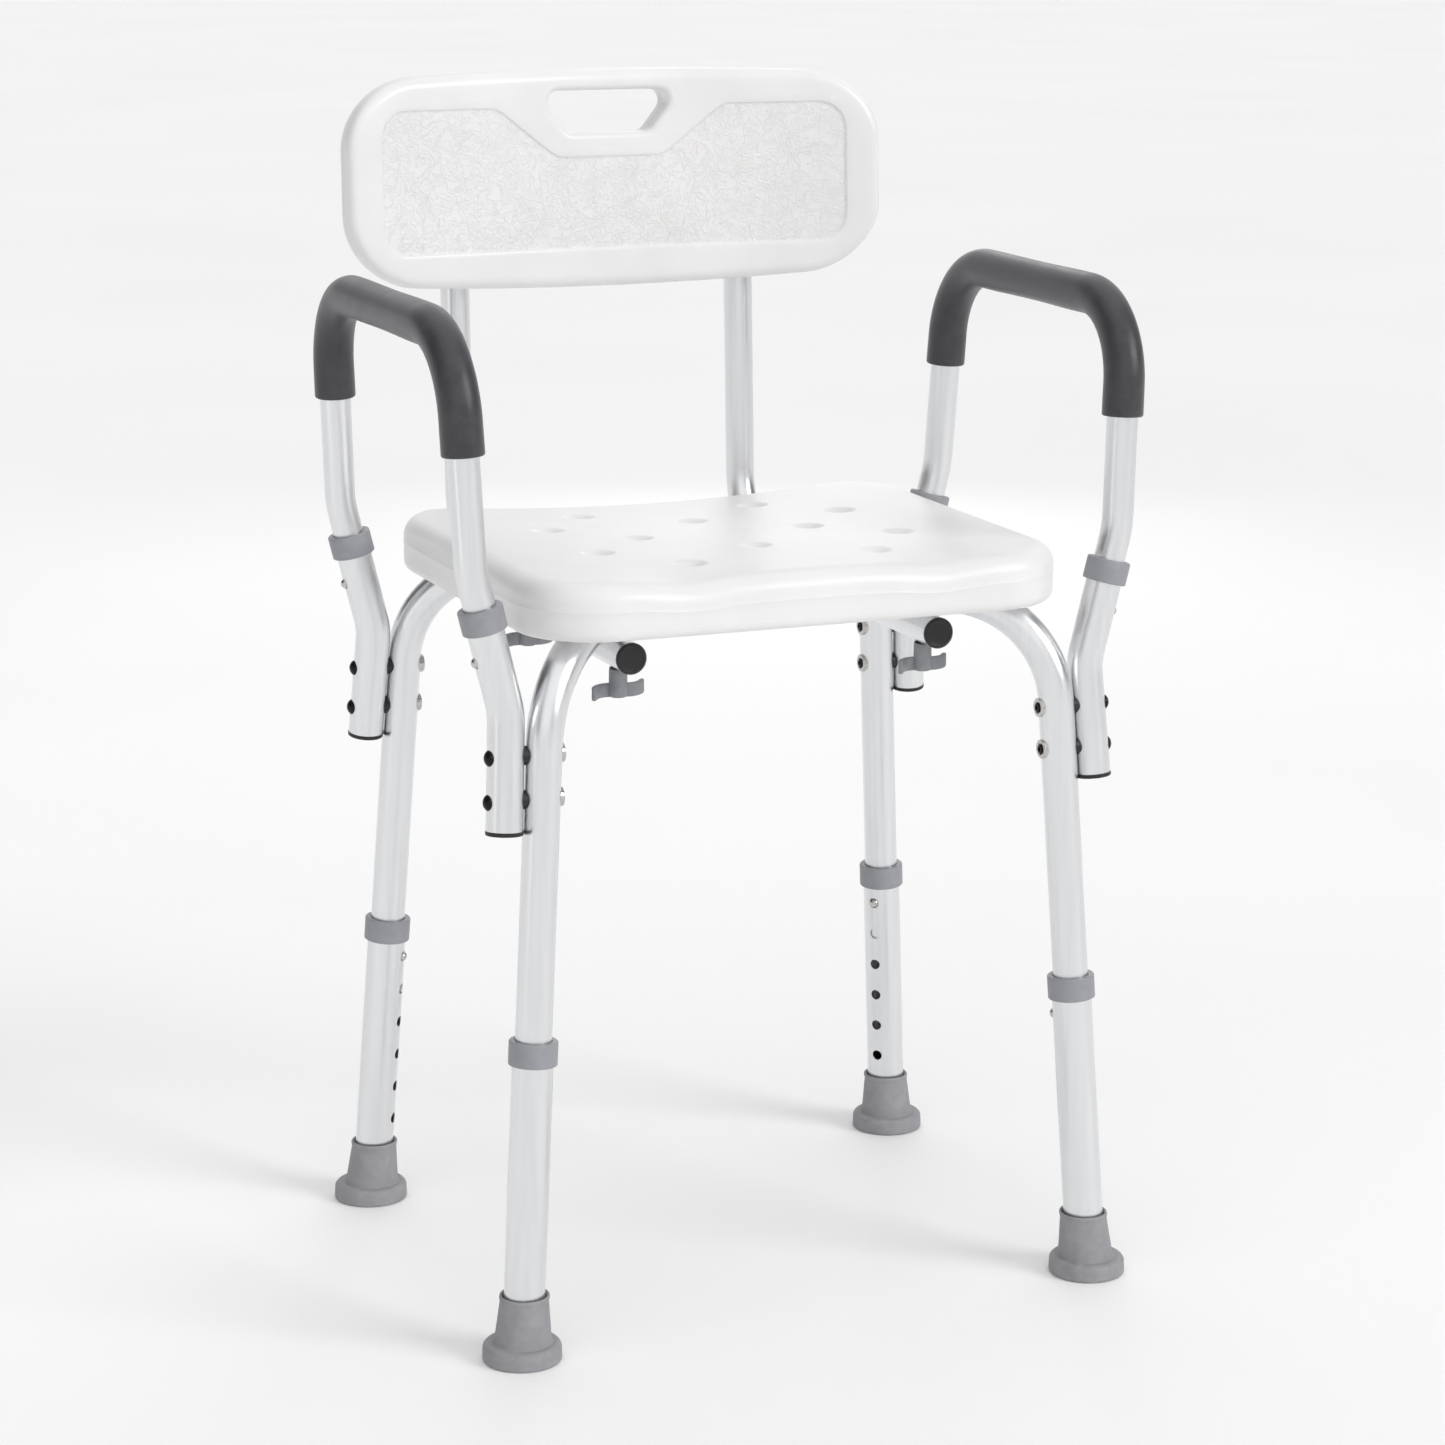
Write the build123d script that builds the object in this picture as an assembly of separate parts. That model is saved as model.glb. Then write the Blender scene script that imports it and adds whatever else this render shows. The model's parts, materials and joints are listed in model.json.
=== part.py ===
"""Height-adjustable shower chair: crossed aluminium arches, moulded seat and back, lift-off armrests.

Millimetres, +Z up, floor at z = 0. The front of the chair faces -Y, and left is the -X side.
Every piece is made around the vertical line through the crossing of the two arches. All of them
are then moved together along Y, so that the middle of the whole chair's box is the origin.
"""
import os
from math import atan, cos, degrees, radians, sin, tan

from build123d import *

# ---- driving dimensions -------------------------------------------------------------------

# legs: each stands on a diagonal of the chair and leans in towards the top
DIAGONAL = radians(38.14)      # plan angle of the arches, from the X axis
FOOT_REACH = 278.9             # from the middle of the chair to a foot, along the diagonal
SPLAY = 0.0762                 # how far a leg moves in for each mm of height
HOLE_PITCH = 26.0              # height setting step
SETTINGS = 6                   # holes in a leg extension
TOP_HOLE = 196.1               # along the leg, from the floor to the button

# tubes, outside radius and wall
ARCH_R = 12.7
ARCH_WALL = 1.2
LEG_R = 14.3
LEG_WALL = 1.3
HOOP_R = 11.1
HOOP_WALL = 1.2
SOCKET_R = 12.7
SOCKET_WALL = 1.2
BACK_TUBE_R = 11.1
BACK_TUBE_WALL = 1.2

# arches
ARCH_TOP = 498.3               # height of the tube's axis under the seat
ARCH_BEND = 77.5
ARCH_END = 155.0               # lower end of the arch tube inside the leg, along the leg
FLAT_HALF = 22.0               # half length of the pressed flat at the crossing
FLAT_FADE = 40.0               # length over which the round tube turns flat
FLAT_HEIGHT = 11.8
FLAT_WIDTH = 33.2

# leg extension, along the leg from the floor
LEG_TUBE_FROM = 13.0
LEG_TUBE_TO = 222.0
COLLAR_FROM = 208.5
COLLAR_TO = 225.5
COLLAR_R = 17.0

# rubber foot
FOOT_FLANGE_R = 27.6
FOOT_FLANGE_H = 12.6
FOOT_CUP_R = 19.8
FOOT_NECK_R = 16.9
FOOT_H = 46.0

# armrests
ARM_Y = 146.5                  # front and rear uprights at the socket
ARM_GRIP_Y = 139.5             # uprights at the grip
ARM_SLANT = 0.25               # sideways run of the socket for each mm of height
SOCKET_BOTTOM = 372.0
SOCKET_KNEE = 452.0
SOCKET_TOP = 523.0
SOCKET_GAP = 26.4              # between the leg's axis and the socket's axis, along X
SOCKET_BEND = 50.0
ARM_COLLAR_Z = 517.0
ARM_COLLAR_H = 16.5
ARM_COLLAR_R = 15.6
ARM_BUTTON_Z = 490.0
HOOP_BOTTOM = 472.0
HOOP_KNEE = 548.0
HOOP_TOP = 707.0
HOOP_TOP_X = 250.0
HOOP_KNEE_BEND = 80.0
HOOP_BEND = 60.0
GRIP_R = 14.8
GRIP_BOTTOM = 624.0
ARM_BOLT_Z = (422.0, 392.0)

# seat
SEAT_X = 202.5                 # half width
SEAT_Y = 172.0                 # half depth
SEAT_CORNER = 60.0
SEAT_BOTTOM = 498.0
SEAT_TOP = 538.5
SEAT_SKIN = 3.2
SEAT_TOP_ROLL = 14.0
SEAT_BOTTOM_ROLL = 7.0
DISH_R = 1700.0
DISH_BOTTOM = 530.5
DRAINS = [(70, 110), (70, -110), (116, 51), (116, -51), (67, 0)]
MIDDLE_DRAINS = [(0, 60), (0, -60)]
DRAIN_R = 3.0
DRAIN_MOUTH_R = 9.0
DRAIN_DEPTH = 5.0
GROOVE_GAP = 0.5

# back
BACK_TUBE_X = 117.0
BACK_TUBE_Z = ARCH_TOP - ARCH_R - BACK_TUBE_R - 0.1    # just clear of the arches above
BACK_TUBE_FRONT = -116.0
BACK_TUBE_REAR = 241.9
BACK_TUBE_BEND = 65.0
BACK_TUBE_END = 800.0
BACK_LEAN = 0.048              # run back for each mm of height
PANEL_X = 216.0                # half width
PANEL_BOTTOM = 685.0
PANEL_TOP = 853.0
PANEL_CORNER = 58.0
PANEL_Y = 236.0                # mid-thickness, middle of the bottom edge
PANEL_THICK = 28.0
PANEL_BOW_R = 833.0            # plan radius, hollow side to the sitter
PANEL_ROLL = 9.0
PANEL_SKIN = 3.0
HANDLE = [(-54, 836), (54, 836), (33, 804), (-33, 804)]
HANDLE_CORNER = 9.0
FIELD = [(-188, 718), (188, 718), (188, 824), (92, 824), (43, 786), (-43, 786), (-92, 824), (-188, 824)]
FIELD_CORNER = 16.0
FIELD_DEPTH = 1.0
BACK_SCREW_Z = (722.0, 778.0)
CAP_R = BACK_TUBE_R + 0.2
CAP_THICK = 2.6

# knobs under the seat
STUD_R = 3.0
STUD_TOP = 521.0
KNOB_HUB_R = 6.6
KNOB_HUB_TOP = 462.4
KNOB_BOTTOM = 442.4
WING_HEIGHT = 9.8
WING_REACH = 21.0
WING_THICK = 3.4

# snap buttons
BUTTON_R = 3.7
BUTTON_HOLE_R = 4.0
BUTTON_PROUD = 2.5
LEAF_THICK = 0.6
LEAF_WIDTH = 7.0

# fits
SLIDE_GAP = 0.3                # between pieces that slide or lift apart
PRESS_GAP = 0.05               # between a plug or an insert and its hole
SADDLE_GAP = 0.15              # between a saddle washer and a leg that starts to bend
CAP_GAP = 0.2                  # between the panel and the cap of a back tube

# arm bolts, and the nuts and saddles on them
BOLT_R = 3.0
BOLT_HOLE_R = 3.2
NUT_SLEEVE_R = 4.0
SADDLE_R = 8.6
SADDLE_FACE = -(ARCH_R + 2.6)  # flat of the saddle washer, from the leg's axis

# threaded inserts in the seat
INSERT_R = 5.5
INSERT_TOP = 524.0
INSERT_BOTTOM = ARCH_TOP + ARCH_R + GROOVE_GAP + 0.1
BOSS_R = 11.0

SIDES = {"left": -1, "right": 1}
ENDS = {"front": -1, "rear": 1}
CORNERS = {f"{end}_{side}": (sx, sy) for end, sy in ENDS.items() for side, sx in SIDES.items()}

SPLAY_ANGLE = atan(SPLAY)
SLANT_ANGLE = atan(ARM_SLANT)
KNOB_Y = BACK_TUBE_X * tan(DIAGONAL)


# ---- helpers ------------------------------------------------------------------------------


def leg_point(sx, sy, z):
    """Point on a leg's axis at height z."""
    reach = FOOT_REACH - SPLAY * z
    return Vector(sx * reach * cos(DIAGONAL), sy * reach * sin(DIAGONAL), z)


def leg_plane(sx, sy):
    """Frame at the floor under a leg: z up the leg, x towards the middle of the chair."""
    level = Vector(-sx * cos(DIAGONAL), -sy * sin(DIAGONAL), 0)
    up = level * sin(SPLAY_ANGLE) + Vector(0, 0, cos(SPLAY_ANGLE))
    inward = level * cos(SPLAY_ANGLE) - Vector(0, 0, sin(SPLAY_ANGLE))
    return Plane(origin=leg_point(sx, sy, 0), x_dir=inward, z_dir=up)


def socket_x(z):
    """Distance from the middle of the chair to the slanted part of an arm socket."""
    knee = leg_point(1, 1, SOCKET_KNEE).X + SOCKET_GAP
    return knee + ARM_SLANT * (z - SOCKET_KNEE)


def arm_plane(sx, sy, z):
    """Frame on the slanted socket at height z: z up the slant, x outwards."""
    up = Vector(sx * sin(SLANT_ANGLE), 0, cos(SLANT_ANGLE))
    outward = Vector(sx * cos(SLANT_ANGLE), 0, -sin(SLANT_ANGLE))
    return Plane(origin=(sx * socket_x(z), sy * ARM_Y, z), x_dir=outward, z_dir=up)


def rod(path, radius):
    """Solid round bar along a path."""
    return sweep(Plane(origin=path @ 0, z_dir=path % 0) * Circle(radius), path=path)


def pipe(path, radius, wall):
    """Round tube along a path."""
    return rod(path, radius) - rod(path, radius - wall)


def button_hole(radius, height):
    """Cutter through the wall of a tube of this radius, towards x, at a height on the z axis."""
    return Pos(radius, 0, height) * Rot(0, 90, 0) * Cylinder(BUTTON_HOLE_R, 8)


def cylinder(radius, low, high):
    """Cylinder on the z axis between two heights."""
    return Pos(0, 0, (low + high) / 2) * Cylinder(radius, high - low)


def ring(radius, bore, low, high):
    """Tube on the z axis between two heights."""
    return cylinder(radius, low, high) - cylinder(bore, low, high)


def dome(radius, low, height):
    """Low round head that stands on z = low."""
    ball_r = (radius ** 2 + height ** 2) / (2 * height)
    ball = Pos(0, 0, low + height - ball_r) * Sphere(ball_r)
    return ball & cylinder(radius, low, low + height)


def rounded_outline(points, corner):
    """Closed flat face with every corner rounded."""
    face = make_face(Polyline(*points, close=True))
    return fillet(face.vertices(), corner)


# ---- arches -------------------------------------------------------------------------------


def stadium(width, height):
    """Flat-sided oval whose four edges match those of split_circle."""
    flat = (width - height) / 2
    half = height / 2
    edges = [
        Line((-flat, half), (flat, half)),
        ThreePointArc((flat, half), (flat + half, 0), (flat, -half)),
        Line((flat, -half), (-flat, -half)),
        ThreePointArc((-flat, -half), (-flat - half, 0), (-flat, half)),
    ]
    return make_face(edges)


def split_circle(radius):
    """Circle made of four arcs."""
    a = radius * cos(radians(50))
    b = radius * sin(radians(50))
    edges = [
        ThreePointArc((-a, b), (0, radius), (a, b)),
        ThreePointArc((a, b), (radius, 0), (a, -b)),
        ThreePointArc((a, -b), (0, -radius), (-a, -b)),
        ThreePointArc((-a, -b), (-radius, 0), (-a, b)),
    ]
    return make_face(edges)


def arch_bar(sx, inset, lift):
    """Solid arch on the diagonal through the front leg of side sx, smaller by inset all round."""
    radius = ARCH_R - inset
    along = Vector(sx * cos(DIAGONAL), -sin(DIAGONAL), 0)
    half = FLAT_HALF + FLAT_FADE
    foot = leg_plane(sx, -1)
    path = FilletPolyline(
        foot.from_local_coords((0, 0, ARCH_END)), leg_point(sx, -1, ARCH_TOP),
        along * half + Vector(0, 0, ARCH_TOP), radius=ARCH_BEND,
    )
    round_end = Plane(origin=along * half + Vector(0, 0, ARCH_TOP), z_dir=along,
                      x_dir=along.cross(Vector(0, 0, 1)))
    flat_end = Plane(origin=along * FLAT_HALF + Vector(0, 0, ARCH_TOP + lift), z_dir=along,
                     x_dir=along.cross(Vector(0, 0, 1)))
    flat = stadium(FLAT_WIDTH - 2 * inset, FLAT_HEIGHT - 2 * inset)
    limb = rod(path, radius) + loft([round_end * split_circle(radius), flat_end * flat])
    middle = extrude(flat_end * flat, amount=-2 * FLAT_HALF)
    return limb + middle + Rot(0, 0, 180) * limb


def arch_holes(sx, sy):
    """Cutters for one leg of an arch: button hole, knob hole and arm bolt holes."""
    button = leg_plane(sx, sy) * button_hole(ARCH_R, TOP_HOLE)
    stud = Pos(sx * BACK_TUBE_X, sy * KNOB_Y, ARCH_TOP) * Cylinder(STUD_R + SLIDE_GAP, 40)
    cutters = [button, stud]
    for z in ARM_BOLT_Z:
        place = bolt_plane(sx, sy, z)
        cutters.append(place * cylinder(BOLT_HOLE_R, 2, ARCH_R + 5))
        cutters.append(place * cylinder(NUT_SLEEVE_R + 0.1, -ARCH_R - 5, -2))
    return cutters


def arch(sx, lift):
    """One inverted U of tube, pressed flat where it crosses the other, with its holes."""
    tube = arch_bar(sx, 0, lift)
    for cutter in arch_holes(sx, -1) + arch_holes(-sx, 1):
        tube -= cutter
    tube -= cylinder(4.1, ARCH_TOP - 20, ARCH_TOP + 20)
    return tube - arch_bar(sx, ARCH_WALL, lift)


def centre_rivet():
    """Rivet through both flats, with a head on each side."""
    half = FLAT_HEIGHT + 0.2
    shank = cylinder(4.0, ARCH_TOP - half, ARCH_TOP + half)
    head = dome(8.0, 0, 2.4)
    top = Pos(0, 0, ARCH_TOP + half) * head
    return shank + top + Pos(0, 0, ARCH_TOP - half) * Rot(180, 0, 0) * head


# ---- legs ---------------------------------------------------------------------------------


def leg_tube():
    """Leg extension with its row of setting holes, in the leg's frame."""
    tube = ring(LEG_R, LEG_R - LEG_WALL, LEG_TUBE_FROM, LEG_TUBE_TO)
    for i in range(SETTINGS):
        tube -= button_hole(LEG_R, TOP_HOLE - i * HOLE_PITCH)
    return tube


def leg_collar():
    """Plastic collar that closes the top of a leg extension and guides the arch tube."""
    body = cylinder(COLLAR_R, COLLAR_FROM, COLLAR_TO)
    body = fillet(body.edges().group_by(Axis.Z)[-1], 1.2)
    body = fillet(body.edges().group_by(Axis.Z)[0], 0.8)
    body -= cylinder(LEG_R, COLLAR_FROM - 1, LEG_TUBE_TO)
    return body - cylinder(LEG_R - LEG_WALL, LEG_TUBE_TO - 1, COLLAR_TO + 1)


def rubber_foot(sx, sy):
    """Rubber tip: a level flange on the floor and a cup along the leg."""
    flange = cylinder(FOOT_FLANGE_R, 0, FOOT_FLANGE_H)
    flange = fillet(flange.edges().group_by(Axis.Z)[-1], 5.0)
    flange = fillet(flange.edges().group_by(Axis.Z)[0], 1.5)
    cup_outline = Polyline(
        (0, 2), (FOOT_CUP_R, 2), (FOOT_CUP_R, FOOT_FLANGE_H), (FOOT_NECK_R, FOOT_H - 3),
        (FOOT_NECK_R + 0.7, FOOT_H - 2.4), (FOOT_NECK_R + 0.7, FOOT_H), (0, FOOT_H), close=True,
    )
    cup = revolve(make_face(Plane.XZ * cup_outline), Axis.Z)
    foot = Pos(*leg_point(sx, sy, 0)) * flange + leg_plane(sx, sy) * cup
    return foot - leg_plane(sx, sy) * cylinder(LEG_R, LEG_TUBE_FROM - 1.6, FOOT_H + 1)


def foot_washer():
    """Steel disc that keeps the tube's end from cutting the rubber, in the leg's frame."""
    return cylinder(LEG_R - 0.2, LEG_TUBE_FROM - 1.6, LEG_TUBE_FROM)


def snap_clip(bore, tip, reach):
    """Leaf spring bent to a V, with its button: x points out of the hole, z up the tube."""
    inner = bore - 1.0
    line = FilletPolyline(
        (tip - 8.6, -7), (tip - 8.6, 7), (0.8, reach), (-0.8, reach), (-inner, 6), (-inner, -7),
        radius=0.7,
    )
    leaf = extrude(Plane.XZ * trace(line, LEAF_THICK), amount=LEAF_WIDTH / 2, both=True)
    shank = cylinder(BUTTON_R, tip - 8.5, tip - 1.6)
    button = shank + dome(BUTTON_R, tip - 1.6, 1.6)
    return leaf + Rot(0, 90, 0) * button


# ---- arm sockets and armrests -------------------------------------------------------------


def socket_path(sx, sy):
    """Axis of an arm socket: beside the leg, then slanted out."""
    bottom = leg_point(sx, sy, SOCKET_BOTTOM) + Vector(sx * SOCKET_GAP, 0, 0)
    knee = Vector(sx * socket_x(SOCKET_KNEE), sy * ARM_Y, SOCKET_KNEE)
    top = Vector(sx * socket_x(SOCKET_TOP), sy * ARM_Y, SOCKET_TOP)
    return FilletPolyline(bottom, knee, top, radius=SOCKET_BEND)


def arm_socket(sx, sy):
    """Bent tube bolted beside a leg, open at the top for the armrest."""
    tube = pipe(socket_path(sx, sy), SOCKET_R, SOCKET_WALL)
    tube -= arm_plane(sx, sy, ARM_BUTTON_Z) * button_hole(SOCKET_R, 0)
    for z in ARM_BOLT_Z:
        tube -= bolt_plane(sx, sy, z) * cylinder(BOLT_HOLE_R, 10, 45)
    return tube


def arm_collar():
    """Plastic collar on the socket's top end, in the arm's frame at ARM_COLLAR_Z."""
    half = ARM_COLLAR_H / 2
    body = cylinder(ARM_COLLAR_R, -half, half)
    body = fillet(body.edges().group_by(Axis.Z)[-1], 1.2)
    body = fillet(body.edges().group_by(Axis.Z)[0], 0.8)
    seat = (SOCKET_TOP - ARM_COLLAR_Z) / cos(SLANT_ANGLE)
    body -= cylinder(SOCKET_R, -half - 1, seat)
    return body - cylinder(HOOP_R + SLIDE_GAP, seat - 1, half + 1)


def socket_plug(sx, sy):
    """Black plug in the lower end of an arm socket."""
    path = socket_path(sx, sy)
    frame = Plane(origin=path @ 0, z_dir=path % 0)
    flange = cylinder(SOCKET_R + 0.3, -3.0, 0)
    flange = fillet(flange.edges().group_by(Axis.Z)[0], 1.0)
    return frame * (flange + cylinder(SOCKET_R - SOCKET_WALL - PRESS_GAP, 0, 9))


def hoop_points(sx):
    """Corners of an armrest hoop's axis, from the front end to the rear end."""
    low = [(sx * socket_x(z), ARM_Y, z) for z in (HOOP_BOTTOM, HOOP_KNEE)]
    rear = low + [(sx * HOOP_TOP_X, ARM_GRIP_Y, HOOP_TOP)]
    front = [(x, -y, z) for x, y, z in rear]
    return front + rear[::-1]


def arm_hoop(sx):
    """Armrest tube with a hole at each end for its snap button."""
    bends = [HOOP_KNEE_BEND, HOOP_BEND, HOOP_BEND, HOOP_KNEE_BEND]
    tube = pipe(FilletPolyline(*hoop_points(sx), radius=bends), HOOP_R, HOOP_WALL)
    for sy in ENDS.values():
        tube -= arm_plane(sx, sy, ARM_BUTTON_Z) * button_hole(HOOP_R, 0)
    return tube


def grip_path(sx):
    """Axis of the foam grip: the top of the hoop, down to GRIP_BOTTOM on both uprights."""
    _, knee, corner = hoop_points(sx)[:3]
    share = (GRIP_BOTTOM - knee[2]) / (corner[2] - knee[2])
    start = tuple(k + (c - k) * share for k, c in zip(knee, corner))
    points = [start, corner, (corner[0], -corner[1], corner[2]), (start[0], -start[1], start[2])]
    return FilletPolyline(*points, radius=HOOP_BEND)


def foam_grip(sx):
    """Foam sleeve on the armrest tube."""
    return pipe(grip_path(sx), GRIP_R, GRIP_R - HOOP_R)


# ---- fasteners between leg and socket -----------------------------------------------------


def bolt_plane(sx, sy, z):
    """Frame of an arm bolt: origin on the leg's axis, z outwards along X."""
    leg = leg_point(sx, sy, z)
    share = (z - SOCKET_BOTTOM) / (SOCKET_KNEE - SOCKET_BOTTOM)
    low = leg_point(sx, sy, SOCKET_BOTTOM).Y
    socket_y = low + (sy * ARM_Y - low) * share
    return Plane(origin=(leg.X, (leg.Y + socket_y) / 2, z), x_dir=(0, 0, 1), z_dir=(sx, 0, 0))


def bolt_places():
    """Every arm bolt's corner and height."""
    return [(sx, sy, z) for sx, sy in CORNERS.values() for z in ARM_BOLT_Z]


def arm_bolt(sx, sy, z):
    """Round-headed bolt from the socket's outer side to the nut inside the leg."""
    face = SOCKET_GAP + SOCKET_R
    shank = bolt_plane(sx, sy, z) * cylinder(BOLT_R, -ARCH_R + 1, face + 0.5)
    head = bolt_plane(sx, sy, z) * (dome(5.6, face, 3.0) + cylinder(5.6, face - 3, face))
    return head - rod(socket_path(sx, sy), SOCKET_R) + shank


def sleeve_nut(sx, sy, z):
    """Black nut with a hex socket, seated in the saddle washer."""
    head = dome(5.0, 0, 1.8) - extrude(RegularPolygon(2.1, 6), amount=1.8)
    sleeve = ring(NUT_SLEEVE_R, BOLT_R, -ARCH_R - 2.6, -ARCH_R + 8)
    return bolt_plane(sx, sy, z) * (sleeve + Pos(0, 0, SADDLE_FACE) * Rot(180, 0, 0) * head)


def leg_bar(sx, sy, radius):
    """The straight of a leg as a bar, for fitting saddles against it."""
    return leg_plane(sx, sy) * cylinder(radius, 340, 440)


def saddle_washer(sx, sy, z):
    """Metal washer, hollowed to fit the leg, on the side towards the middle."""
    disc = cylinder(SADDLE_R, SADDLE_FACE, -ARCH_R + 4) - cylinder(NUT_SLEEVE_R, -30, 0)
    return bolt_plane(sx, sy, z) * disc - leg_bar(sx, sy, ARCH_R + SADDLE_GAP)


def saddle_spacer(sx, sy, z):
    """Black spacer between the leg and the socket, hollowed on both sides."""
    disc = cylinder(6.5, 6, SOCKET_GAP - 6) - cylinder(BOLT_HOLE_R, 0, 30)
    spacer = bolt_plane(sx, sy, z) * disc - leg_bar(sx, sy, ARCH_R)
    return spacer - rod(socket_path(sx, sy), SOCKET_R)


# ---- seat ---------------------------------------------------------------------------------


def slab(inset, top_roll, bottom_roll):
    """Seat's outer form, smaller by inset all round."""
    face = RectangleRounded(2 * (SEAT_X - inset), 2 * (SEAT_Y - inset), SEAT_CORNER - inset)
    height = SEAT_TOP - SEAT_BOTTOM - 2 * inset
    body = extrude(Pos(0, 0, SEAT_BOTTOM + inset) * face, amount=height)
    body = fillet(body.edges().group_by(Axis.Z)[-1], top_roll)
    body = fillet(body.edges().group_by(Axis.Z)[0], bottom_roll)
    dish = Pos(0, 0, DISH_BOTTOM - inset + DISH_R) * Rot(90, 0, 0) * Cylinder(DISH_R, 500)
    return body - dish


def drain_points():
    """Plan positions of all the drain holes."""
    side = [(sx * x, y) for x, y in DRAINS for sx in (-1, 1)]
    return side + MIDDLE_DRAINS


def under_grooves(extra):
    """Bars that cut, or wall off, the two crossing grooves under the seat."""
    bars = arch_bar(1, -extra, 6.1) + arch_bar(-1, -extra, -6.1)
    crossing = cylinder(FLAT_WIDTH / 2 + 6 + extra, SEAT_BOTTOM - 20, ARCH_TOP + ARCH_R + 2.4 + extra)
    return bars + crossing


def knob_points():
    """Plan positions of the four knobs, where the back tubes pass under the arches."""
    return [(sx * BACK_TUBE_X, sy * KNOB_Y) for sx, sy in CORNERS.values()]


def seat():
    """Hollow moulded seat with drain wells, insert bosses and grooves for the arches."""
    cavity = slab(SEAT_SKIN, SEAT_TOP_ROLL - SEAT_SKIN, SEAT_BOTTOM_ROLL - SEAT_SKIN)
    cavity -= under_grooves(GROOVE_GAP + SEAT_SKIN)
    for x, y in drain_points():
        cavity -= Pos(x, y, 0) * cylinder(DRAIN_MOUTH_R + 2, SEAT_BOTTOM, SEAT_TOP)
    for x, y in knob_points():
        cavity -= Pos(x, y, 0) * cylinder(BOSS_R, SEAT_BOTTOM, SEAT_TOP)
    body = slab(0, SEAT_TOP_ROLL, SEAT_BOTTOM_ROLL) - cavity
    body -= under_grooves(GROOVE_GAP)
    for x, y in drain_points():
        surface = DISH_BOTTOM + x ** 2 / (2 * DISH_R)
        funnel = Pos(0, 0, surface - DRAIN_DEPTH / 2 + 0.01) * Cone(DRAIN_R, DRAIN_MOUTH_R, DRAIN_DEPTH)
        body -= Pos(x, y, 0) * (funnel + cylinder(DRAIN_R, SEAT_BOTTOM - 1, surface))
    for x, y in knob_points():
        body -= Pos(x, y, 0) * cylinder(INSERT_R, SEAT_BOTTOM, INSERT_TOP)
    return body


def seat_insert():
    """Threaded insert in a seat boss, blind at the top."""
    body = cylinder(INSERT_R - PRESS_GAP, INSERT_BOTTOM, INSERT_TOP - PRESS_GAP)
    return body - cylinder(STUD_R + 0.1, INSERT_BOTTOM - 1, STUD_TOP + 1.0)


# ---- back ---------------------------------------------------------------------------------


def back_tube_path(sx):
    """Axis of a back tube: under the seat, then up behind the panel."""
    x = sx * BACK_TUBE_X
    top_y = BACK_TUBE_REAR + BACK_LEAN * (BACK_TUBE_END - BACK_TUBE_Z)
    return FilletPolyline(
        (x, BACK_TUBE_FRONT, BACK_TUBE_Z), (x, BACK_TUBE_REAR, BACK_TUBE_Z), (x, top_y, BACK_TUBE_END),
        radius=BACK_TUBE_BEND,
    )


def screw_plane(sx, z):
    """Frame of a back screw: origin on the tube's axis, z backwards."""
    y = BACK_TUBE_REAR + BACK_LEAN * (z - BACK_TUBE_Z)
    return Plane(origin=(sx * BACK_TUBE_X, y, z), x_dir=(1, 0, 0), z_dir=(0, 1, -BACK_LEAN))


def back_tube(sx):
    """L-shaped tube that carries the back panel."""
    tube = pipe(back_tube_path(sx), BACK_TUBE_R, BACK_TUBE_WALL)
    for sy in ENDS.values():
        tube -= Pos(sx * BACK_TUBE_X, sy * KNOB_Y, BACK_TUBE_Z) * Cylinder(STUD_R + SLIDE_GAP, 40)
    for z in BACK_SCREW_Z:
        tube -= screw_plane(sx, z) * Cylinder(2.7, 40)
    return tube


def tube_cap(plane):
    """Black plug in an end of a back tube; the plane's z points out of the tube."""
    disc = cylinder(CAP_R, 0, CAP_THICK)
    disc = fillet(disc.edges().group_by(Axis.Z)[-1], 1.0)
    return plane * (disc + cylinder(BACK_TUBE_R - BACK_TUBE_WALL - PRESS_GAP, -9, 0))


def tube_caps():
    """Plugs in the front and top ends of both back tubes."""
    caps = []
    for sx in SIDES.values():
        path = back_tube_path(sx)
        caps.append(tube_cap(Plane(origin=path @ 0, z_dir=-(path % 0))))
        caps.append(tube_cap(Plane(origin=path @ 1, z_dir=path % 1)))
    return caps


def lean(shape):
    """Tip a shape back about the middle of the panel's bottom edge."""
    pivot = Pos(0, PANEL_Y, PANEL_BOTTOM)
    return pivot * Rot(-degrees(atan(BACK_LEAN)), 0, 0) * pivot.inverse() * shape


def panel_bar(face):
    """Bar through the panel from an outline drawn in X and Z."""
    return lean(extrude(Plane.XZ * face, amount=-400))


def bowed_wall(front, back):
    """Curved wall between two depths, measured forward and back from mid-thickness."""
    wall = cylinder(PANEL_BOW_R + back, 600, 950) - cylinder(PANEL_BOW_R - front, 600, 950)
    return lean(Pos(0, PANEL_Y - PANEL_BOW_R, 0) * wall)


def panel_form(inset, front, back):
    """Bowed and rounded form of the panel, smaller by inset all round."""
    middle_z = (PANEL_TOP + PANEL_BOTTOM) / 2
    height = PANEL_TOP - PANEL_BOTTOM - 2 * inset
    face = Pos(0, middle_z) * RectangleRounded(2 * (PANEL_X - inset), height, PANEL_CORNER - inset)
    return panel_bar(face) & bowed_wall(front, back)


def rim_edges(body):
    """Edges round the front and the back of the panel, without those that cross its thickness."""
    return [edge for edge in body.edges() if edge.length > PANEL_THICK + 1]


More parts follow.
